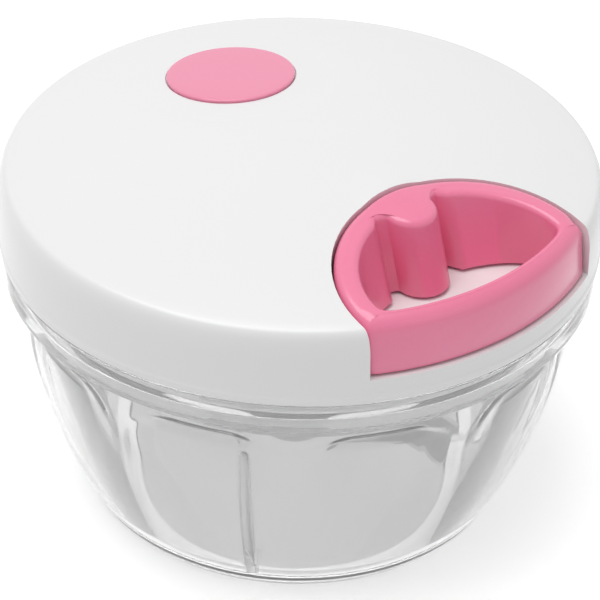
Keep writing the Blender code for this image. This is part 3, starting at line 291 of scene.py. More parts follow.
def make_handling_marks():
    """Fine hairlines that cross each other: a mask from 0 to 1 for what is often wiped or held."""
    inputs = [("Scale", NUMBER, 1.0), ("Amount", NUMBER, 0.3)]
    group, given, result = effect_group("handling_marks", inputs, [("Mask", NUMBER)])
    place = add_node(group, "ShaderNodeTexCoord").outputs["Object"]
    lines = None
    for turn, stretch in ((25.0, 900.0), (-50.0, 700.0)):
        lie = {"Rotation": (0.3, 0.2, math.radians(turn)), "Scale": (30.0, stretch, 30.0)}
        spread = add_node(group, "ShaderNodeMapping", lie)
        group.links.new(place, spread.inputs["Vector"])
        hair = add_node(group, "ShaderNodeTexNoise", {"Detail": 3.0})
        group.links.new(spread.outputs[0], hair.inputs["Vector"])
        group.links.new(given.outputs["Scale"], hair.inputs["Scale"])
        band = add_node(group, "ShaderNodeMapRange", {"From Min": 0.62, "From Max": 0.74})
        group.links.new(hair.outputs[0], band.inputs["Value"])
        lines = band.outputs[0] if lines is None else math_node(group, "MAXIMUM", lines, band.outputs[0])
    group.links.new(math_node(group, "MULTIPLY", lines, given.outputs["Amount"]), result.inputs["Mask"])
    return group


def make_drawn_lines():
    """Lines that grinding or drawing leaves in metal, along X of the vector that it is given."""
    inputs = [("Vector", "NodeSocketVector", None), ("Fineness", NUMBER, 1.0), ("Roughness", NUMBER, 0.25)]
    group, given, result = effect_group("drawn_lines", inputs, [("Roughness", NUMBER), ("Height", NUMBER)])
    spread = add_node(group, "ShaderNodeMapping", {"Scale": (60.0, 2600.0, 2600.0)})
    group.links.new(given.outputs["Vector"], spread.inputs["Vector"])
    grain = add_node(group, "ShaderNodeTexNoise", {"Detail": 3.0})
    group.links.new(spread.outputs[0], grain.inputs["Vector"])
    group.links.new(given.outputs["Fineness"], grain.inputs["Scale"])
    drift = math_node(group, "MULTIPLY", math_node(group, "SUBTRACT", grain.outputs[0], 0.5), 0.22)
    rough = math_node(group, "ADD", given.outputs["Roughness"], drift, True)
    group.links.new(rough, result.inputs["Roughness"])
    group.links.new(grain.outputs[0], result.inputs["Height"])
    return group


MOULDED_SKIN = make_moulded_skin()
HANDLING_MARKS = make_handling_marks()
DRAWN_LINES = make_drawn_lines()


FINISHES = {}


def new_finish(name, colour, roughness, metallic=0.0):
    """A material, kept in FINISHES under its name, with its Principled shader ready for more nodes."""
    finish = FINISHES[name] = bpy.data.materials.new(name)
    finish.use_nodes = True
    shader = finish.node_tree.nodes["Principled BSDF"]
    shader.inputs["Base Color"].default_value = (*colour, 1.0)
    shader.inputs["Roughness"].default_value = roughness
    shader.inputs["Metallic"].default_value = metallic
    finish.diffuse_color = (*colour, 1.0)
    return finish.node_tree, shader


def use_effect(tree, group, **values):
    """A group's node, with values for its inputs; an underscore stands for the space in a label."""
    node = add_node(tree, "ShaderNodeGroup", node_tree=group)
    for key, value in values.items():
        node.inputs[key.replace("_", " ")].default_value = value
    return node


def raise_surface(tree, shader, height, distance, strength=1.0):
    """Feeds a height into the shader's normal."""
    bump = add_node(tree, "ShaderNodeBump", {"Distance": distance, "Strength": strength})
    tree.links.new(height, bump.inputs["Height"])
    tree.links.new(bump.outputs[0], shader.inputs["Normal"])


def tint_by(tree, shader, factor, colour, other):
    """Base colour that goes from one colour to the other by a factor that changes over the surface."""
    mix = add_node(tree, "ShaderNodeMix", data_type="RGBA")
    mix.inputs[6].default_value = (*colour, 1.0)
    mix.inputs[7].default_value = (*other, 1.0)
    tree.links.new(factor, mix.inputs[0])
    tree.links.new(mix.outputs[2], shader.inputs["Base Color"])


def moulded_plastic(name, colour, roughness, shade, grain=900.0, marks=0.25, coat=0.0, bump=0.00001):
    """Moulded plastic with skin, faint hairlines and a second, slightly darker shade in its flow."""
    tree, shader = new_finish(name, colour, roughness)
    skin = use_effect(tree, MOULDED_SKIN, Grain_Scale=grain, Roughness=roughness, Drift=0.06)
    wiped = use_effect(tree, HANDLING_MARKS, Scale=1.0, Amount=marks)
    hairlines = math_node(tree, "MULTIPLY", wiped.outputs["Mask"], 0.12)
    rough = math_node(tree, "ADD", skin.outputs["Roughness"], hairlines)
    tree.links.new(rough, shader.inputs["Roughness"])
    tint_by(tree, shader, skin.outputs["Height"], colour, shade)
    shader.inputs["Coat Weight"].default_value = coat
    shader.inputs["Coat Roughness"].default_value = 0.12
    raise_surface(tree, shader, skin.outputs["Height"], bump, 0.35)


def clear_plastic(name, colour):
    """Clear moulded plastic, slightly hazy. On the ribs it is hazier and less clear, so that they render
    whiter: a painted highlight in place of the light that their glossy sides catch.
    """
    tree, shader = new_finish(name, colour, 0.02)
    shader.inputs["IOR"].default_value = 1.38
    wiped = use_effect(tree, HANDLING_MARKS, Scale=1.0, Amount=0.06)
    rib = add_node(tree, "ShaderNodeAttribute", attribute_name="rib")
    # Painted highlight: the rib mask makes the ribs less clear and rougher, so they show as whiter plastic
    clear = math_node(tree, "SUBTRACT", 0.89, math_node(tree, "MULTIPLY", rib.outputs["Fac"], 0.4))
    tree.links.new(clear, shader.inputs["Transmission Weight"])
    rib_highlight_haze = math_node(tree, "MULTIPLY", rib.outputs["Fac"], 0.25)
    rough = math_node(tree, "ADD", wiped.outputs["Mask"], math_node(tree, "ADD", rib_highlight_haze, 0.012))
    tree.links.new(rough, shader.inputs["Roughness"])


def ground_metal(name, colour, roughness, turn=(0.0, 0.0, 0.0), fineness=1.0):
    """Metal with drawn or ground lines that run along a chosen direction."""
    tree, shader = new_finish(name, colour, roughness, 1.0)
    place = add_node(tree, "ShaderNodeTexCoord").outputs["Object"]
    swing = add_node(tree, "ShaderNodeMapping", {"Rotation": turn})
    tree.links.new(place, swing.inputs["Vector"])
    lines = use_effect(tree, DRAWN_LINES, Fineness=fineness, Roughness=roughness)
    tree.links.new(swing.outputs[0], lines.inputs["Vector"])
    tree.links.new(lines.outputs["Roughness"], shader.inputs["Roughness"])
    raise_surface(tree, shader, lines.outputs["Height"], 0.00001, 0.3)


def rubbed_rubber(name, colour):
    """Silicone rubber: a dull skin with fine grain, which lets a little light in."""
    tree, shader = new_finish(name, colour, 0.6)
    skin = use_effect(tree, MOULDED_SKIN, Grain_Scale=1800.0, Roughness=0.58, Drift=0.1)
    tree.links.new(skin.outputs["Roughness"], shader.inputs["Roughness"])
    raise_surface(tree, shader, skin.outputs["Height"], 0.00002, 0.5)
    shader.inputs["Subsurface Weight"].default_value = 0.15
    shader.inputs["Subsurface Radius"].default_value = (0.002, 0.002, 0.002)


def braided_cord(name, colour, shade):
    """Braid: two sets of diagonal strands in the tube's own UV, crossing each other; the low parts between
    the strands take the darker second colour, a painted shade in the grooves.
    """
    tree, shader = new_finish(name, colour, 0.8)
    place = add_node(tree, "ShaderNodeTexCoord").outputs["UV"]
    heights = []
    for lean in (1.0, -1.0):
        swing = add_node(tree, "ShaderNodeMapping", {"Rotation": (0.0, 0.0, lean * math.radians(38.0))})
        tree.links.new(place, swing.inputs["Vector"])
        strands = add_node(tree, "ShaderNodeTexWave", {"Scale": 3.2, "Distortion": 0.4}, wave_profile="SIN")
        tree.links.new(swing.outputs[0], strands.inputs["Vector"])
        heights.append(strands.outputs["Fac"])
    height = math_node(tree, "MAXIMUM", heights[0], heights[1])
    # Painted shade: the grooves between the strands get the darker colour
    tint_by(tree, shader, height, shade, colour)
    raise_surface(tree, shader, height, 0.0002, 0.8)
    shader.inputs["Sheen Weight"].default_value = 0.3


WHITE = (0.86, 0.86, 0.862)
PINK = (0.940, 0.242, 0.405)
clear_plastic("clear_bowl", (0.985, 0.985, 0.986))
moulded_plastic("white_shell", WHITE, 0.30, (0.85, 0.85, 0.853), coat=0.1)
moulded_plastic("white_base", (0.84, 0.84, 0.843), 0.38, (0.825, 0.825, 0.828))
moulded_plastic("white_post", (0.85, 0.85, 0.85), 0.36, (0.835, 0.835, 0.835))
moulded_plastic("pink_handle", PINK, 0.30, (0.885, 0.205, 0.36), marks=0.35, coat=0.4)
moulded_plastic("pink_badge", (0.88, 0.275, 0.42), 0.22, (0.87, 0.265, 0.41), coat=0.3)
moulded_plastic("grey_reel", (0.42, 0.43, 0.45), 0.42, (0.38, 0.39, 0.41))
moulded_plastic("grey_ratchet", (0.36, 0.37, 0.39), 0.4, (0.32, 0.33, 0.35))
rubbed_rubber("silicone", (0.80, 0.80, 0.80))
# The second colour is painted shade for the braid's grooves
braided_cord("cord", (0.90, 0.89, 0.86), (0.66, 0.65, 0.62))
ground_metal("steel_pin", (0.62, 0.63, 0.65), 0.22)
ground_metal("clip_steel", (0.55, 0.56, 0.58), 0.3)
ground_metal("screw_steel", (0.60, 0.61, 0.62), 0.28)
ground_metal("spring_steel", (0.42, 0.43, 0.45), 0.32)
ground_metal("blade_steel", (0.80, 0.81, 0.82), 0.44, (0.0, 0.0, math.radians(90.0)), 0.8)
ground_metal("bush_brass", (0.78, 0.64, 0.36), 0.3)


def dress_cad_nodes():
    """Every solid of the frame gets the finish of its slot."""
    for part in frame["record"]["subparts"]:
        solid = frame["nodes"][part["node"]]
        solid.data.materials.clear()
        solid.data.materials.append(FINISHES[part["material_slot"]])


# Making pieces


def new_object(name, work):
    """An object from a bmesh: a piece, or a tool that another piece is carved with."""
    mesh = bpy.data.meshes.new(name)
    work.to_mesh(mesh)
    work.free()
    made = bpy.data.objects.new(name, mesh)
    bpy.context.scene.collection.objects.link(made)
    return made


def finish_piece(work, name, body, slot, stands_for=(), smooth=32.0):
    return dress_piece(new_object(name, work), body, slot, stands_for, smooth)


def dress_piece(piece, body, slot, stands_for=(), smooth=32.0):
    """Gives a piece its shading and finish, the body that it rides on and the solids that it stands for."""
    piece.data.shade_smooth()
    piece.data.set_sharp_from_angle(angle=math.radians(smooth))
    piece.data.materials.clear()
    piece.data.materials.append(FINISHES[slot])
    if body:
        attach(piece, body)
    if stands_for:
        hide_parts(*stands_for)
    return piece


def curve(start, bend, end, steps):
    """Points on the curve from start to end that is drawn towards bend."""
    start, bend, end = Vector(start), Vector(bend), Vector(end)
    points = []
    for k in range(steps + 1):
        s = k / steps
        point = start * (1.0 - s) ** 2 + bend * 2.0 * s * (1.0 - s) + end * s * s
        points.append((point.x, point.y))
    return points


def rounded_line(corners, arc_steps=4):
    """A line through (radius, height, fillet) corners, with a curve at each corner that has a fillet."""
    line = []
    count = len(corners)
    for i, (r, z, fillet) in enumerate(corners):
        here = Vector((r, z))
        if fillet == 0.0:
            line.append((r, z))
            continue
        before = Vector(corners[i - 1][:2]) - here
        after = Vector(corners[(i + 1) % count][:2]) - here
        reach = fillet / math.tan(before.angle(after) / 2)
        start = here + before.normalized() * min(reach, 0.48 * before.length)
        end = here + after.normalized() * min(reach, 0.48 * after.length)
        line += curve(start, here, end, arc_steps)
    return line


def spin_line(line, steps, closed=False, start=0.0):
    """Spins a (radius, height) line round the chopper's axis into a closed body."""
    work = bmesh.new()
    verts = [work.verts.new((r * math.cos(start), r * math.sin(start), z)) for r, z in line]
    edges = [work.edges.new(pair) for pair in zip(verts, verts[1:])]
    if closed:
        edges.append(work.edges.new((verts[-1], verts[0])))
    bmesh.ops.spin(
        work, geom=verts + edges, cent=(0.0, 0.0, 0.0), axis=(0.0, 0.0, 1.0), angle=math.tau, steps=steps,
        use_merge=True, use_duplicate=False,
    )
    bmesh.ops.remove_doubles(work, verts=work.verts, dist=0.000001)
    bmesh.ops.recalc_face_normals(work, faces=work.faces)
    return work


def smooth_share(value):
    value = max(0.0, min(1.0, value))
    return value * value * (3.0 - 2.0 * value)


def prism(outline, low, high):
    """An upright block over an outline of (x, y) points, and the vertices of its upper face."""
    work = bmesh.new()
    face = work.faces.new([work.verts.new((x, y, low)) for x, y in outline])
    pulled = bmesh.ops.extrude_face_region(work, geom=[face])
    top = [item for item in pulled["geom"] if isinstance(item, bmesh.types.BMVert)]
    bmesh.ops.translate(work, verts=top, vec=(0.0, 0.0, high - low))
    bmesh.ops.recalc_face_normals(work, faces=work.faces)
    return work, top


def rod(radius, length, place, segments, along_y=False):
    """A round bar about its own middle, upright or along Y."""
    work = bmesh.new()
    bmesh.ops.create_cone(
        work, cap_ends=True, segments=segments, radius1=radius, radius2=radius, depth=length)
    if along_y:
        bmesh.ops.rotate(work, verts=work.verts, matrix=Matrix.Rotation(math.radians(90.0), 3, "X"))
    bmesh.ops.translate(work, verts=work.verts, vec=place)
    return work


def brick(size, place):
    work = bmesh.new()
    bmesh.ops.create_cube(work, size=1.0)
    bmesh.ops.scale(work, verts=work.verts, vec=size)
    bmesh.ops.translate(work, verts=work.verts, vec=place)
    return work


def carve(target, tool, operation="DIFFERENCE"):
    """Applies an exact Boolean to target and removes the tool."""
    change = target.modifiers.new("carve", "BOOLEAN")
    change.operation = operation
    change.solver = "EXACT"
    change.object = tool
    settle(target)
    bpy.data.objects.remove(tool, do_unlink=True)


def settle(target):
    """Replaces the object's mesh by what its modifiers make of it."""
    graph = bpy.context.evaluated_depsgraph_get()
    graph.update()
    mesh = bpy.data.meshes.new_from_object(target.evaluated_get(graph), depsgraph=graph)
    target.modifiers.clear()
    target.data = mesh


# Bowl


def wall_radius(z):
    """Radius of the bowl's outer wall between its pressed faces."""
    return BASE_RADIUS + (RIM_RADIUS - BASE_RADIUS) * (1.0 - (1.0 - z / BOWL_HEIGHT) ** WALL_CURVE)


def from_facet(angle):
    """Angle from the middle of the nearest pressed face."""
    pitch = math.tau / FACETS
    return (angle - FACET_FIRST + pitch / 2) % pitch - pitch / 2


def from_rib(angle):
    """Angle from the nearest rib."""
    pitch = math.tau / RIBS
    return (angle - RIB_FIRST + pitch / 2) % pitch - pitch / 2


def facet_hollow(lean, z, inset, top):
    """How far a pressed face lies inside the round wall; it is nothing past the face's arched outline."""
    radius = wall_radius(z) - inset
    half = (radius - FACET_DEPTH) * math.sin(FACET_HALF_ANGLE)
    across = abs(radius * math.sin(lean)) - (half - FACET_CORNER)
    above = z - (top - FACET_CORNER)
    if across > 0.0 and above > 0.0:
        outside = math.hypot(across, above) - FACET_CORNER
    else:
        outside = max(across, above) - FACET_CORNER
    rise = max(0.0, (z - FACET_FADE_LOW) / (FACET_TOP - FACET_FADE_LOW))
    edge = FACET_EDGE + FACET_SOFTNESS * (1.0 - rise)
    return FACET_DEPTH * smooth_share(-outside / edge) * rise**2


def rib_rise(angle, z):
    """How far the upright rib stands in from the inner wall."""
    away = from_rib(angle)
    if abs(away) >= 0.3:
        return 0.0
    width = smooth_share(1.0 - abs(wall_radius(z) * math.sin(away)) / RIB_HALF_WIDTH)
    return RIB_DEPTH * width * smooth_share((RIB_TOP - z) / RIB_RUN_OUT)


def crowded_angles(count):
    """Angles of the columns in one face's share of the bowl, crowded at its edges and at the ribs."""
    half = math.pi / FACETS
    fine = 4000
    total = [0.0]
    for i in range(fine):
        lean = -half + 2 * half * (i + 0.5) / fine
        weight = 1.0 + 2.5 * math.exp(-(((abs(lean) - FACET_HALF_ANGLE + 0.014) / 0.02) ** 2))
        for rib in (RIB_FIRST, RIB_FIRST + math.tau / RIBS):
            weight += 4.0 * math.exp(-(((lean - from_facet(rib)) / 0.02) ** 2))
        total.append(total[-1] + weight)
    angles = []
    step = 0
    for k in range(count):
        wanted = total[-1] * k / count
        while total[step + 1] < wanted:
            step += 1
        angles.append(-half + 2 * half * step / fine)
    return angles


def bowl_rows():
    """Heights of the section's points along the pressed faces, closest together at the arches' edge."""
    heights = [FACET_LEDGE + 0.0001 * (k + 1) for k in range(4)]
    z = FACET_LEDGE + 0.0010
    while z < FACET_TOP - FACET_CORNER:
        heights.append(z)
        z += ROW_LOW
    while z < FACET_TOP - FACET_EDGE:
        heights.append(z)
        z += ROW_ARCH
    return heights + [FACET_TOP - FACET_EDGE * (1.0 - k / 7) for k in range(8)]


def bowl_line():
    """The bowl's section from its underside's middle round to the pin's bore, each point with its mark."""
    ledge = wall_radius(FACET_LEDGE)
    foot = [(0.0, FOOT_RECESS, 0.0), (FOOT_RING[0] - 0.0008, FOOT_RECESS, 0.0003),
            (FOOT_RING[0], 0.0, 0.0003), (FOOT_RING[1], 0.0, 0.0005), (ledge, FACET_LEDGE, 0.0004),
            (ledge - 0.0008, FACET_LEDGE + 0.0002, 0.0)]
    line = [(r, z, FIXED) for r, z in rounded_line(foot, 3)[:-1]]
    rows = bowl_rows()
    line += [(wall_radius(z), z, OUTER) for z in rows + [FACET_TOP + 0.0006, 0.0505, 0.0522]]
    collar = [(wall_radius(0.0525), 0.0525, 0.0), (wall_radius(COLLAR_BOTTOM), COLLAR_BOTTOM, 0.0006),
              (COLLAR_RADIUS, COLLAR_BOTTOM, 0.0006), (COLLAR_RADIUS, BOWL_HEIGHT, 0.0006),
              (COLLAR_BORE, BOWL_HEIGHT, 0.0003), (COLLAR_BORE, BOWL_HEIGHT - BORE_ROW, 0.0)]
    line += [(r, z, BORE if r < COLLAR_BORE + 0.00001 else FIXED) for r, z in rounded_line(collar, 4)]
    line.append((COLLAR_BORE, BOWL_HEIGHT - BORE_ROW - 0.0002, BORE))
    line.append((COLLAR_BORE, BOWL_HEIGHT - BORE_ROW - 0.0003, FIXED))
    shoulder = [(COLLAR_BORE, SHOULDER + 0.0020, 0.0), (COLLAR_BORE, SHOULDER, 0.0004),
                (wall_radius(SHOULDER) - BOWL_WALL, SHOULDER, 0.0004),
                (wall_radius(SHOULDER - 0.0010) - BOWL_WALL, SHOULDER - 0.0010, 0.0)]
    line += [(r, z, FIXED) for r, z in rounded_line(shoulder, 3)]
    lowest = BOWL_FLOOR + FLOOR_CORNER
    for z in reversed([0.0505, FACET_TOP + 0.0004] + rows):
        if z > lowest:
            line.append((wall_radius(z) - BOWL_WALL, z, INNER))
    side = wall_radius(lowest) - BOWL_WALL
    for k in range(1, 7):
        turn = math.pi / 2 * k / 6
        r = side - FLOOR_CORNER * (1.0 - math.cos(turn))
        line.append((r, lowest - FLOOR_CORNER * math.sin(turn), INNER))
    line += [(r, BOWL_FLOOR, FIXED) for r in (0.036, 0.030, 0.020, 0.012)]
    boss = [(PIN_BOSS[0] + 0.0015, BOWL_FLOOR, 0.0), (PIN_BOSS[0], BOWL_FLOOR, 0.0003), (*PIN_BOSS, 0.0003),
            (PIN_BORE[0], PIN_BOSS[1], 0.0002), (*PIN_BORE, 0.0), (0.0, PIN_BORE[1], 0.0)]
    return line + [(r, z, FIXED) for r, z in rounded_line(boss, 2)]


def make_bowl():
    """The clear bowl: a spun wall, its columns crowded at the faces' edges and the ribs, then pressed in."""
    line = bowl_line()
    steps = FACET_COLUMNS * FACETS
    work = spin_line([(r, z) for r, z, _ in line], steps)
    marks = {(round(r * 1e6), round(z * 1e6)): mark for r, z, mark in line}
    crowded = crowded_angles(FACET_COLUMNS)
    # A mask of the ribs, which the bowl's finish turns into a painted highlight
    rib_highlight_layer = work.verts.layers.float.new("rib")
    for vert in work.verts:
        z = vert.co.z
        radius = math.hypot(vert.co.x, vert.co.y)
        if radius < 0.000001:
            continue
        column = round(math.atan2(vert.co.y, vert.co.x) / (math.tau / steps)) % steps
        face, column = divmod(column, FACET_COLUMNS)
        angle = FACET_FIRST + math.tau / FACETS * face + crowded[column]
        mark = nearest_mark(marks, radius, z)
        if mark == OUTER:
            radius -= facet_hollow(from_facet(angle), z, 0.0, FACET_TOP)
        elif mark == INNER:
            height = max(z, BOWL_FLOOR + FLOOR_CORNER)
            share = smooth_share((radius - 0.034) / 0.004)
            radius -= share * facet_hollow(from_facet(angle), height, BOWL_WALL, FACET_TOP - 0.0003)
            rise = share * rib_rise(angle, z)
            vert[rib_highlight_layer] = min(1.0, 2.0 * rise / RIB_DEPTH)
            radius -= rise
        elif mark == BORE:
            pitch = math.tau / LEDGES
            away = abs((angle - LEDGE_FIRST + pitch / 2) % pitch - pitch / 2)
            radius -= LEDGE_DEPTH * smooth_share((LEDGE_HALF_ANGLE - away) / LEDGE_RAMP + 0.5)
        vert.co.x = radius * math.cos(angle)
        vert.co.y = radius * math.sin(angle)
    finish_piece(work, "bowl_moulding", "bowl", "clear_bowl", ("bowl",), 40.0)


def nearest_mark(marks, radius, z):
    """The mark of the section's point that a spun vertex came from."""
    key_r, key_z = round(radius * 1e6), round(z * 1e6)
    for shift in ((0, 0), (1, 0), (-1, 0), (0, 1), (0, -1), (1, 1), (-1, -1), (1, -1), (-1, 1)):
        found = marks.get((key_r + shift[0], key_z + shift[1]))
        if found is not None:
            return found
    return 0


# Lid


def dome_height(radius):
    return LID_TOP - LID_DOME_CURVE + math.sqrt(LID_DOME_CURVE**2 - radius**2)


def lid_relief(x, out):
    """Low shapes in the lid's top: a shallow dish round the badge and a swelling over the cord's way out."""
    from_badge = math.hypot(x + BADGE_OUT * math.sin(BADGE_TURN), out + BADGE_OUT * math.cos(BADGE_TURN))
    dish = -DISH_DEPTH * smooth_share((DISH_RADIUS - from_badge) / DISH_EDGE + 0.5)
    side = max(0.0, 1.0 - (x / SWELL_HALF) ** 2)
    swell = SWELL_HEIGHT * side**0.7 * smooth_share((out - SWELL_START) / SWELL_REACH)
    return dish + swell


def lid_side_line(inset):
    """The lid's line from the dome over its rounded shoulder to the top of its side."""
    start = (LID_DOME_EDGE - inset, dome_height(LID_DOME_EDGE) - inset)
    bend = (LID_SHOULDER_RADIUS - inset - 0.0003, start[1] - 0.0004)
    return curve(start, bend, (LID_SHOULDER_RADIUS - inset, LID_SHOULDER), 8)


def pocket_prism(grow, low):
    """An upright block with the pocket's outline, open past the lid's rim and top."""
    across = HANDLE_HALF + grow
    deep = HANDLE_WIDEST - HANDLE_INNER + grow
    steps = 40
    outline = []
    for i in range(steps + 1):
        turn = math.pi * (i / steps - 0.5)
        outline.append((across * math.sin(turn), -(HANDLE_WIDEST - deep * math.cos(turn))))
    outline += [(across, -LID_RADIUS - 0.008), (-across, -LID_RADIUS - 0.008)]
    return prism(outline, low, LID_TOP + 0.01)[0]


def make_lid():
    """The white cover: a spun dome with its relief, the pocket for the handle and the seat for the badge."""
    line = []
    for k in range(LID_RINGS):
        r = LID_DOME_EDGE * k / LID_RINGS
        line.append((r, dome_height(r)))
    line += lid_side_line(0.0) + rounded_line(LIP_SECTION, 3)
    line += reversed(lid_side_line(LID_WALL))
    line += [(r, dome_height(r) - LID_WALL) for r in (0.050, 0.040, 0.028, 0.014)]
    line.append((0.0, LID_TOP - LID_WALL))
    work = spin_line(line, LID_STEPS)
    for vert in work.verts:
        r = math.hypot(vert.co.x, vert.co.y)
        if r < LID_DOME_EDGE and vert.co.z > dome_height(r) - 0.0001:
            vert.co.z += lid_relief(vert.co.x, -vert.co.y)
    lid = new_object("lid_shell", work)
    tub = new_object("tub", pocket_prism(POCKET_PLAY + POCKET_WALL, POCKET_FLOOR - POCKET_WALL))
    carve(tub, new_object("bulk", spin_line(lid_bulk_line(), LID_STEPS)), "INTERSECT")
    carve(lid, tub, "UNION")
    carve(lid, new_object("pocket", pocket_prism(POCKET_PLAY, POCKET_FLOOR)))
    seat = rod(BADGE_RADIUS + BADGE_PLAY, 0.0107, (0.0, 0.0, 0.0107 / 2 - BADGE_SEAT), 96)
    bmesh.ops.transform(seat, verts=seat.verts, matrix=badge_place())
    carve(lid, new_object("seat", seat))
    radius, length, out = EYELET_HOLE
    carve(lid, new_object("hole", rod(radius, length, (0.0, -out, CORD_HEIGHT), 32, along_y=True)))
    dress_piece(lid, "lid", "white_shell", ("lid_cover",), 35.0)
    edge = lid.modifiers.new("edge", "BEVEL")
    edge.width = 0.00028
    edge.segments = 2
    edge.limit_method = "ANGLE"
    edge.angle_limit = math.radians(42.0)
    edge.harden_normals = True


def lid_bulk_line():
    """The whole lid's outline as a solid, a hair inside its outer skin."""
    line = [(r, dome_height(r) - LID_SKIN) for r in (0.0, 0.012, 0.024, 0.036, 0.048)]
    return line + lid_side_line(LID_SKIN) + [(0.0613, 0.0660), (0.0614, 0.0640), (0.0, 0.0640)]


def badge_place():
    """Matrix that stands a piece on the dome where the badge is."""
    tilt = -math.asin(BADGE_OUT / LID_DOME_CURVE)
    here = Matrix.Translation((0.0, BADGE_OUT, dome_height(BADGE_OUT) - BADGE_SINK))
    return Matrix.Rotation(BADGE_TURN, 4, "Z") @ here @ Matrix.Rotation(tilt, 4, "X")


def make_badge():
    """The round badge: a low crown inside a thin bevelled rim."""
    crown = [(BADGE_RADIUS * s, BADGE_CROWN - 0.00012 * s * s) for s in (0.0, 0.3, 0.55, 0.75, 0.88)]
    rim = rounded_line([(BADGE_RADIUS - 0.0010, BADGE_RIM, 0.0), (BADGE_RADIUS, BADGE_RIM - 0.00004, 0.0005),
                        (BADGE_RADIUS, -BADGE_THICKNESS, 0.0), (0.0, -BADGE_THICKNESS, 0.0)], 5)
    work = spin_line(crown + rim, 128)
    bmesh.ops.transform(work, verts=work.verts, matrix=badge_place())
    finish_piece(work, "badge_disc", "lid", "pink_badge", ("badge",))


# Handle


def gap_half(share):
    """The finger gap's outline for x >= 0, from the cord boss's tip round to the front bar."""
    back = GAP_BACK_BOTTOM + (GAP_BACK_TOP - GAP_BACK_BOTTOM) * share
    tip = BOSS_TIP_BOTTOM + (BOSS_TIP_TOP - BOSS_TIP_BOTTOM) * share
    w = BOSS_HALF
    turns = [math.radians(15.0 * i) for i in range(7)]
    points = [(w * math.sin(turn), tip - w + w * math.cos(turn)) for turn in turns]
    a = HANDLE_HALF - HANDLE_BAR
    b = HANDLE_WIDEST - back
    start = math.asin((w + BOSS_ROOT_WIDTH) / a)
    root = HANDLE_WIDEST - b * math.cos(start)
    for aside, out, short in BOSS_ROOT:
        points.append((w + aside, min(root + out, tip - w - short)))
    steps = 16
    for i in range(steps + 1):
        turn = start + (math.pi / 2 - 0.16 - start) * i / steps
        points.append((a * math.sin(turn), HANDLE_WIDEST - b * math.cos(turn)))
    corner = math.asin((a - 0.0035) / GAP_FRONT)
    bend = (a - 0.0001, math.sqrt(GAP_FRONT**2 - a**2) + 0.0002)
    points += curve((a - 0.0002, HANDLE_WIDEST - 0.0012), bend, on_circle(GAP_FRONT, corner), 5)
    return points + [on_circle(GAP_FRONT, corner * (1.0 - i / 12)) for i in range(1, 13)]


def on_circle(radius, turn):
    """A point (x, out) on a circle round the chopper's axis, at a turn from the handle's middle."""
    return radius * math.sin(turn), radius * math.cos(turn)


def rim_half(share, count):
    """The handle's outer outline for x >= 0, from its inner end to the middle of its outer face."""
    face = HANDLE_FACE + HANDLE_FACE_DRAFT * (1.0 - share)
    a = HANDLE_HALF
    b = HANDLE_WIDEST - HANDLE_INNER
    corner = math.asin((a - 0.0014) / face)
    front, bend_steps = 11, 5
    around = count - front - bend_steps
    points = []
    for i in range(around):
        turn = math.pi / 2 * (i / (around - 1)) ** 0.94
        points.append((a * math.sin(turn), HANDLE_WIDEST - b * math.cos(turn)))
    end = on_circle(face, corner)
    points += curve((a, end[1] - HANDLE_CORNER), (a, math.sqrt(face**2 - a**2)), end, bend_steps - 1)
    return points + [on_circle(face, corner * (1.0 - i / front)) for i in range(1, front + 1)]


def whole_loop(half):
    """A closed loop from its x >= 0 half, which starts and ends on the centre line."""
    return half + [(-x, out) for x, out in reversed(half[1:-1])]


def drawn_in(loop, offsets):
    """The loop with each point moved towards its inside by its own offset."""
    moved = []
    count = len(loop)
    for i, (point, offset) in enumerate(zip(loop, offsets)):
        along = (Vector(loop[(i + 1) % count]) - Vector(loop[i - 1])).normalized()
        moved.append((point[0] - along.y * offset, point[1] + along.x * offset))
    return moved


def handle_top(x, out):
    """Height of the handle's top: the dome, a little proud, with a swelling along the cord boss."""
    side = max(0.0, 1.0 - (x / BOSS_SWELL_HALF) ** 2)
    swell = BOSS_SWELL * side * smooth_share((BOSS_SWELL_END - out) / BOSS_SWELL_REACH)
    return dome_height(math.hypot(x, out)) + HANDLE_PROUD + swell


def edge_round(x, out):
    """Radius of the handle's outer edge, which is larger along its face."""
    front = smooth_share((math.hypot(x, out) - 0.0560) / 0.003)
    return HANDLE_ROUND + (HANDLE_FACE_ROUND - HANDLE_ROUND) * front


def foot_level(loop, turn, side):
    """A level of the rounded foot of the handle's outer side (1) or of its gap (-1)."""
    inset = side * HANDLE_FOOT_ROUND * (1.0 - math.cos(turn))
    z = HANDLE_BOTTOM + HANDLE_FOOT_ROUND * (1.0 - math.sin(turn))
    return [(x, out, z) for x, out in drawn_in(loop, [inset] * len(loop))]


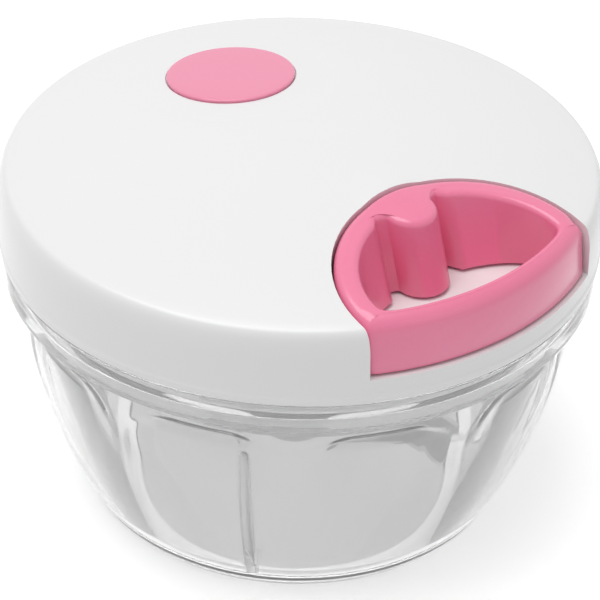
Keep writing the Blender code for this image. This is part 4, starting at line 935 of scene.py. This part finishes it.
def handle_levels():
    """Loops of (x, out, height) round the handle's section, from its outer foot over its top to the gap's."""
    gap_low, gap_high = whole_loop(gap_half(0.0)), whole_loop(gap_half(1.0))
    count = len(gap_half(1.0))
    rim_low, rim_high = whole_loop(rim_half(0.0, count)), whole_loop(rim_half(1.0, count))
    levels = [foot_level(rim_low, math.radians(turn), 1.0) for turn in (90.0, 45.0, 0.0)]
    rounds = [edge_round(x, out) for x, out in rim_high]
    for k in range(7):
        share = math.pi / 2 * k / 6
        loop = drawn_in(rim_high, [r * (1.0 - math.cos(share)) for r in rounds])
        drop = [r * (1.0 - math.sin(share)) for r in rounds]
        levels.append([(x, out, handle_top(x, out) - d) for (x, out), d in zip(loop, drop)])
    top_out = levels[-1]
    top_in = drawn_in(gap_high, [-GAP_ROUND] * len(gap_high))
    for s in (0.25, 0.5, 0.75):
        level = []
        for (x0, out0, _), (x1, out1) in zip(top_out, top_in):
            x, out = x0 + (x1 - x0) * s, out0 + (out1 - out0) * s
            level.append((x, out, handle_top(x, out)))
        levels.append(level)
    for k in range(7):
        share = math.pi / 2 * (1.0 - k / 6)
        loop = drawn_in(gap_high, [-GAP_ROUND * (1.0 - math.cos(share))] * len(gap_high))
        drop = GAP_ROUND * (1.0 - math.sin(share))
        levels.append([(x, out, handle_top(x, out) - drop) for x, out in loop])
    return levels + [foot_level(gap_low, math.radians(turn), -1.0) for turn in (0.0, 45.0, 90.0)]


def bridge(work, loops):
    """Joins each loop of edges to the next."""
    for here, there in zip(loops, loops[1:]):
        bmesh.ops.bridge_loops(work, edges=here + there)


def make_handle():
    """The ring handle, bridged through loops round its section."""
    work = bmesh.new()
    loops = []
    for level in handle_levels():
        verts = [work.verts.new((x, -out, z)) for x, out, z in level]
        loops.append([work.edges.new((verts[i - 1], verts[i])) for i in range(len(verts))])
    bridge(work, loops + loops[:1])
    bmesh.ops.recalc_face_normals(work, faces=work.faces)
    handle = new_object("handle_ring", work)
    radius, out, high = KNOT_ROOM
    low = HANDLE_BOTTOM - 0.002
    carve(handle, new_object("knot_room", rod(radius, high - low, (0.0, -out, (low + high) / 2), 40)))
    radius, length, out = CORD_HOLE
    carve(handle, new_object("cord_hole", rod(radius, length, (0.0, -out, CORD_HEIGHT), 24, along_y=True)))
    dress_piece(handle, "pull_handle", "pink_handle", ("handle",), 38.0)


# Lid base


def make_lid_base():
    """The white base under the cover: its plate, skirt, tapered plug and bush tube, with four lugs."""
    base = new_object("lid_base_moulding", spin_line(rounded_line(LID_BASE_SECTION, 3), 160, closed=True))
    half = LUG_HALF_ANGLE
    for i in range(LEDGES):
        middle = LEDGE_FIRST - LUG_LEAD + math.tau * i / LEDGES
        outline = [(LUG_RADII[1], middle - half + 2 * half * k / 8) for k in range(9)]
        outline += [(LUG_RADII[0], middle + half - 2 * half * k / 8) for k in range(9)]
        lug, _ = prism([(r * math.cos(a), r * math.sin(a)) for r, a in outline], *LUG_HEIGHTS)
        carve(base, new_object("lug", lug), "UNION")
    for i in range(SCREWS):
        turn = math.radians(90.0) + math.tau * i / SCREWS
        place = (SCREW_OUT * math.cos(turn), SCREW_OUT * math.sin(turn), 0.062)
        carve(base, new_object("screw_hole", rod(SCREW_HOLE_RADIUS, 0.006, place, 24)))
    dress_piece(base, "lid", "white_base", ("lid_base",), 35.0)


def make_seal():
    """The seal ring, with a soft bead between the bowl's shoulder and the skirt."""
    work = spin_line(rounded_line(SEAL_SECTION, 3), 160, closed=True)
    finish_piece(work, "seal_ring", "seal", "silicone", ("lid_seal",))


# Blades


def blade_outline():
    """A blade that points along +X, from the root of its back round the tip to the root of its edge."""
    back = [(BLADE_ROOT, -BLADE_HALF)]
    cutting = [(BLADE_ROOT, BLADE_HALF)]
    steps = 22
    for i in range(steps + 1):
        s = i / steps
        x = BLADE_STRAIGHT + (BLADE_TIP - BLADE_TIP_BACK - BLADE_STRAIGHT) * s
        back.append((x, -BLADE_HALF + BLADE_DIP * math.sin(math.pi * s) - BLADE_HOOK * s**3))
        cutting.append((x, BLADE_HALF + BLADE_BULGE * math.sin(0.78 * math.pi * s)))
    nose = [(BLADE_TIP - 0.0004, -0.0068), (BLADE_TIP, -0.0048), (BLADE_TIP, 0.0010),
            (BLADE_TIP - 0.0006, 0.0034)]
    return back + nose + cutting[::-1]


def turn_to_blade(work, i):
    """Turns what points along +X to the way that a blade points."""
    turn = BLADE_FIRST + math.tau / 3 * i
    bmesh.ops.rotate(work, verts=work.verts, matrix=Matrix.Rotation(turn, 3, "Z"))


def make_blades():
    """Three ground blades: a flat plate whose upper face is ground back to a thin edge."""
    for i, (node, height) in enumerate(BLADE_HEIGHTS):
        work, upper = prism(blade_outline(), height - BLADE_THICKNESS / 2, height + BLADE_THICKNESS / 2)
        for vert in upper:
            if vert.co.y > BLADE_HALF + 0.0002:
                vert.co.y -= min(BLADE_GRIND, vert.co.y - BLADE_HALF)
        turn_to_blade(work, i)
        finish_piece(work, node + "_plate", "blade_set", "blade_steel", (node,), 20.0)


def make_post():
    """The white post: its foot, waist, head with the drive's socket, and slots for the blades."""
    post = new_object("post_moulding", spin_line(rounded_line(POST_SECTION, 3), 64))
    for side in (-1, 1):
        out, height = SOCKET_LOBE_PLACE
        carve(post, new_object("lobe", brick(SOCKET_LOBE, (0.0, side * out, height))), "UNION")
    for i, (_, height) in enumerate(BLADE_HEIGHTS):
        slot = brick(BLADE_SLOT, (BLADE_SLOT_OUT + BLADE_SLOT[0] / 2, 0.0, height))
        turn_to_blade(slot, i)
        carve(post, new_object("slot", slot))
    dress_piece(post, "blade_set", "white_post", ("blade_holder",), 35.0)


# Cord


def make_cord():
    """The cord from the reel to its knot, laid so that it reaches the handle."""
    start, bend = cord_start(), Vector(LEAD_BEND)
    level = Vector((bend.x, bend.y, LEAD_HEIGHT)) - start
    path = [start, start + level * (LEAD_LEVEL / level.length), bend]
    first, last = CORD_STRAIGHT
    for k in range(CORD_RINGS + 1):
        path.append(Vector((0.0, -first - (last - first) * k / CORD_RINGS, CORD_HEIGHT)))
    work = bmesh.new()
    braid = work.loops.layers.uv.new("braid")
    loops = []
    for i, point in enumerate(path):
        along = (path[min(i + 1, len(path) - 1)] - path[max(i - 1, 0)]).normalized()
        across = along.cross(Vector((0.0, 0.0, 1.0))).normalized()
        rise = across.cross(along)
        ring = []
        for k in range(CORD_SIDES):
            turn = math.tau * k / CORD_SIDES
            out = across * math.cos(turn) + rise * math.sin(turn)
            ring.append(work.verts.new(point + out * CORD_RADIUS))
        loops.append([work.edges.new((ring[k - 1], ring[k])) for k in range(CORD_SIDES)])
    bridge(work, loops)
    for ends in (loops[0], loops[-1]):
        bmesh.ops.edgenet_fill(work, edges=ends)
    bmesh.ops.recalc_face_normals(work, faces=work.faces)
    for face in work.faces:
        for corner in face.loops:
            x, y, z = corner.vert.co
            corner[braid].uv = (math.atan2(z - CORD_HEIGHT, x) / math.tau, -y / (math.tau * CORD_RADIUS))
    piece = finish_piece(work, "cord_run", None, "cord", ("cord_lead", "cord_end"), 50.0)
    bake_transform(piece)


def cord_start():
    """Where the cord leaves its winding: the far corner of the lead's box, moved in by the cord's radius."""
    low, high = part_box("cord_lead")
    return Vector((low[0] + CORD_RADIUS * 0.6, high[1] - CORD_RADIUS * 0.8, LEAD_HEIGHT))


# Room and light


def floor_material(name, shade, glow, glow_through):
    """A matt surface that looks brighter to the camera, to gloss and through clear plastic."""
    made = bpy.data.materials.new(name)
    made.use_nodes = True
    tree = made.node_tree
    tree.nodes.clear()
    output = add_node(tree, "ShaderNodeOutputMaterial")
    matt = add_node(tree, "ShaderNodeBsdfDiffuse")
    shine = add_node(tree, "ShaderNodeEmission")
    both = add_node(tree, "ShaderNodeAddShader")
    mix = add_node(tree, "ShaderNodeMixShader")
    path = add_node(tree, "ShaderNodeLightPath")
    through = path.outputs["Is Transmission Ray"]
    seen = math_node(tree, "MAXIMUM", path.outputs["Is Camera Ray"], path.outputs["Is Glossy Ray"])
    seen = math_node(tree, "MAXIMUM", seen, through)
    less = math_node(tree, "MULTIPLY", through, glow - glow_through)
    tree.links.new(math_node(tree, "SUBTRACT", glow, less), shine.inputs["Strength"])
    less = math_node(tree, "MULTIPLY", through, 0.15)
    tree.links.new(math_node(tree, "SUBTRACT", shade, less), matt.inputs["Color"])
    tree.links.new(matt.outputs[0], both.inputs[0])
    tree.links.new(shine.outputs[0], both.inputs[1])
    tree.links.new(seen, mix.inputs[0])
    tree.links.new(matt.outputs[0], mix.inputs[1])
    tree.links.new(both.outputs[0], mix.inputs[2])
    tree.links.new(mix.outputs[0], output.inputs["Surface"])
    return made


def make_room():
    """A pale floor, a soft sky that looks white, and two soft lamps."""
    work = bmesh.new()
    bmesh.ops.create_circle(work, cap_ends=True, segments=64, radius=4.0)
    floor = new_object("floor", work)
    floor.data.materials.append(floor_material("pale_floor", 0.90, glow=0.50, glow_through=0.60))
    world = bpy.data.worlds.new("soft_sky")
    bpy.context.scene.world = world
    world.use_nodes = True
    tree = world.node_tree
    tree.nodes.clear()
    output = add_node(tree, "ShaderNodeOutputWorld")
    path = add_node(tree, "ShaderNodeLightPath")
    sky = add_node(tree, "ShaderNodeBackground", {"Color": (1.0, 1.0, 1.0, 1.0)})
    white = add_node(tree, "ShaderNodeBackground", {"Color": (1.0, 1.0, 1.0, 1.0)})
    mix = add_node(tree, "ShaderNodeMixShader")
    through = path.outputs["Is Transmission Ray"]
    less = math_node(tree, "MULTIPLY", through, 0.06)
    tree.links.new(math_node(tree, "SUBTRACT", 1.0, less), white.inputs["Strength"])
    gloss = math_node(tree, "MULTIPLY", path.outputs["Is Glossy Ray"], 0.42)
    tree.links.new(math_node(tree, "ADD", gloss, 0.48), sky.inputs["Strength"])
    seen = math_node(tree, "MAXIMUM", path.outputs["Is Camera Ray"], through)
    tree.links.new(seen, mix.inputs[0])
    tree.links.new(sky.outputs[0], mix.inputs[1])
    tree.links.new(white.outputs[0], mix.inputs[2])
    tree.links.new(mix.outputs[0], output.inputs["Surface"])
    put_lamp("top_softbox", (-0.15, 0.10, 0.95), size=0.7, power=5.1)
    put_lamp("side_softbox", (0.28, -0.90, 0.50), size=0.6, power=0.25)


def put_lamp(name, place, size, power):
    """A square softbox that faces the chopper."""
    lamp = bpy.data.lights.new(name, "AREA")
    lamp.shape = "SQUARE"
    lamp.size = size
    lamp.energy = power
    holder = bpy.data.objects.new(name, lamp)
    bpy.context.scene.collection.objects.link(holder)
    holder.location = place
    aim = Vector((0.0, 0.0, 0.05)) - Vector(place)
    holder.rotation_euler = aim.to_track_quat("-Z", "Y").to_euler()


put_camera()
dress_cad_nodes()
make_bowl()
make_lid()
make_badge()
make_handle()
make_lid_base()
make_seal()
make_blades()
make_post()
make_cord()
make_room()

bpy.context.scene.view_settings.view_transform = "Standard"
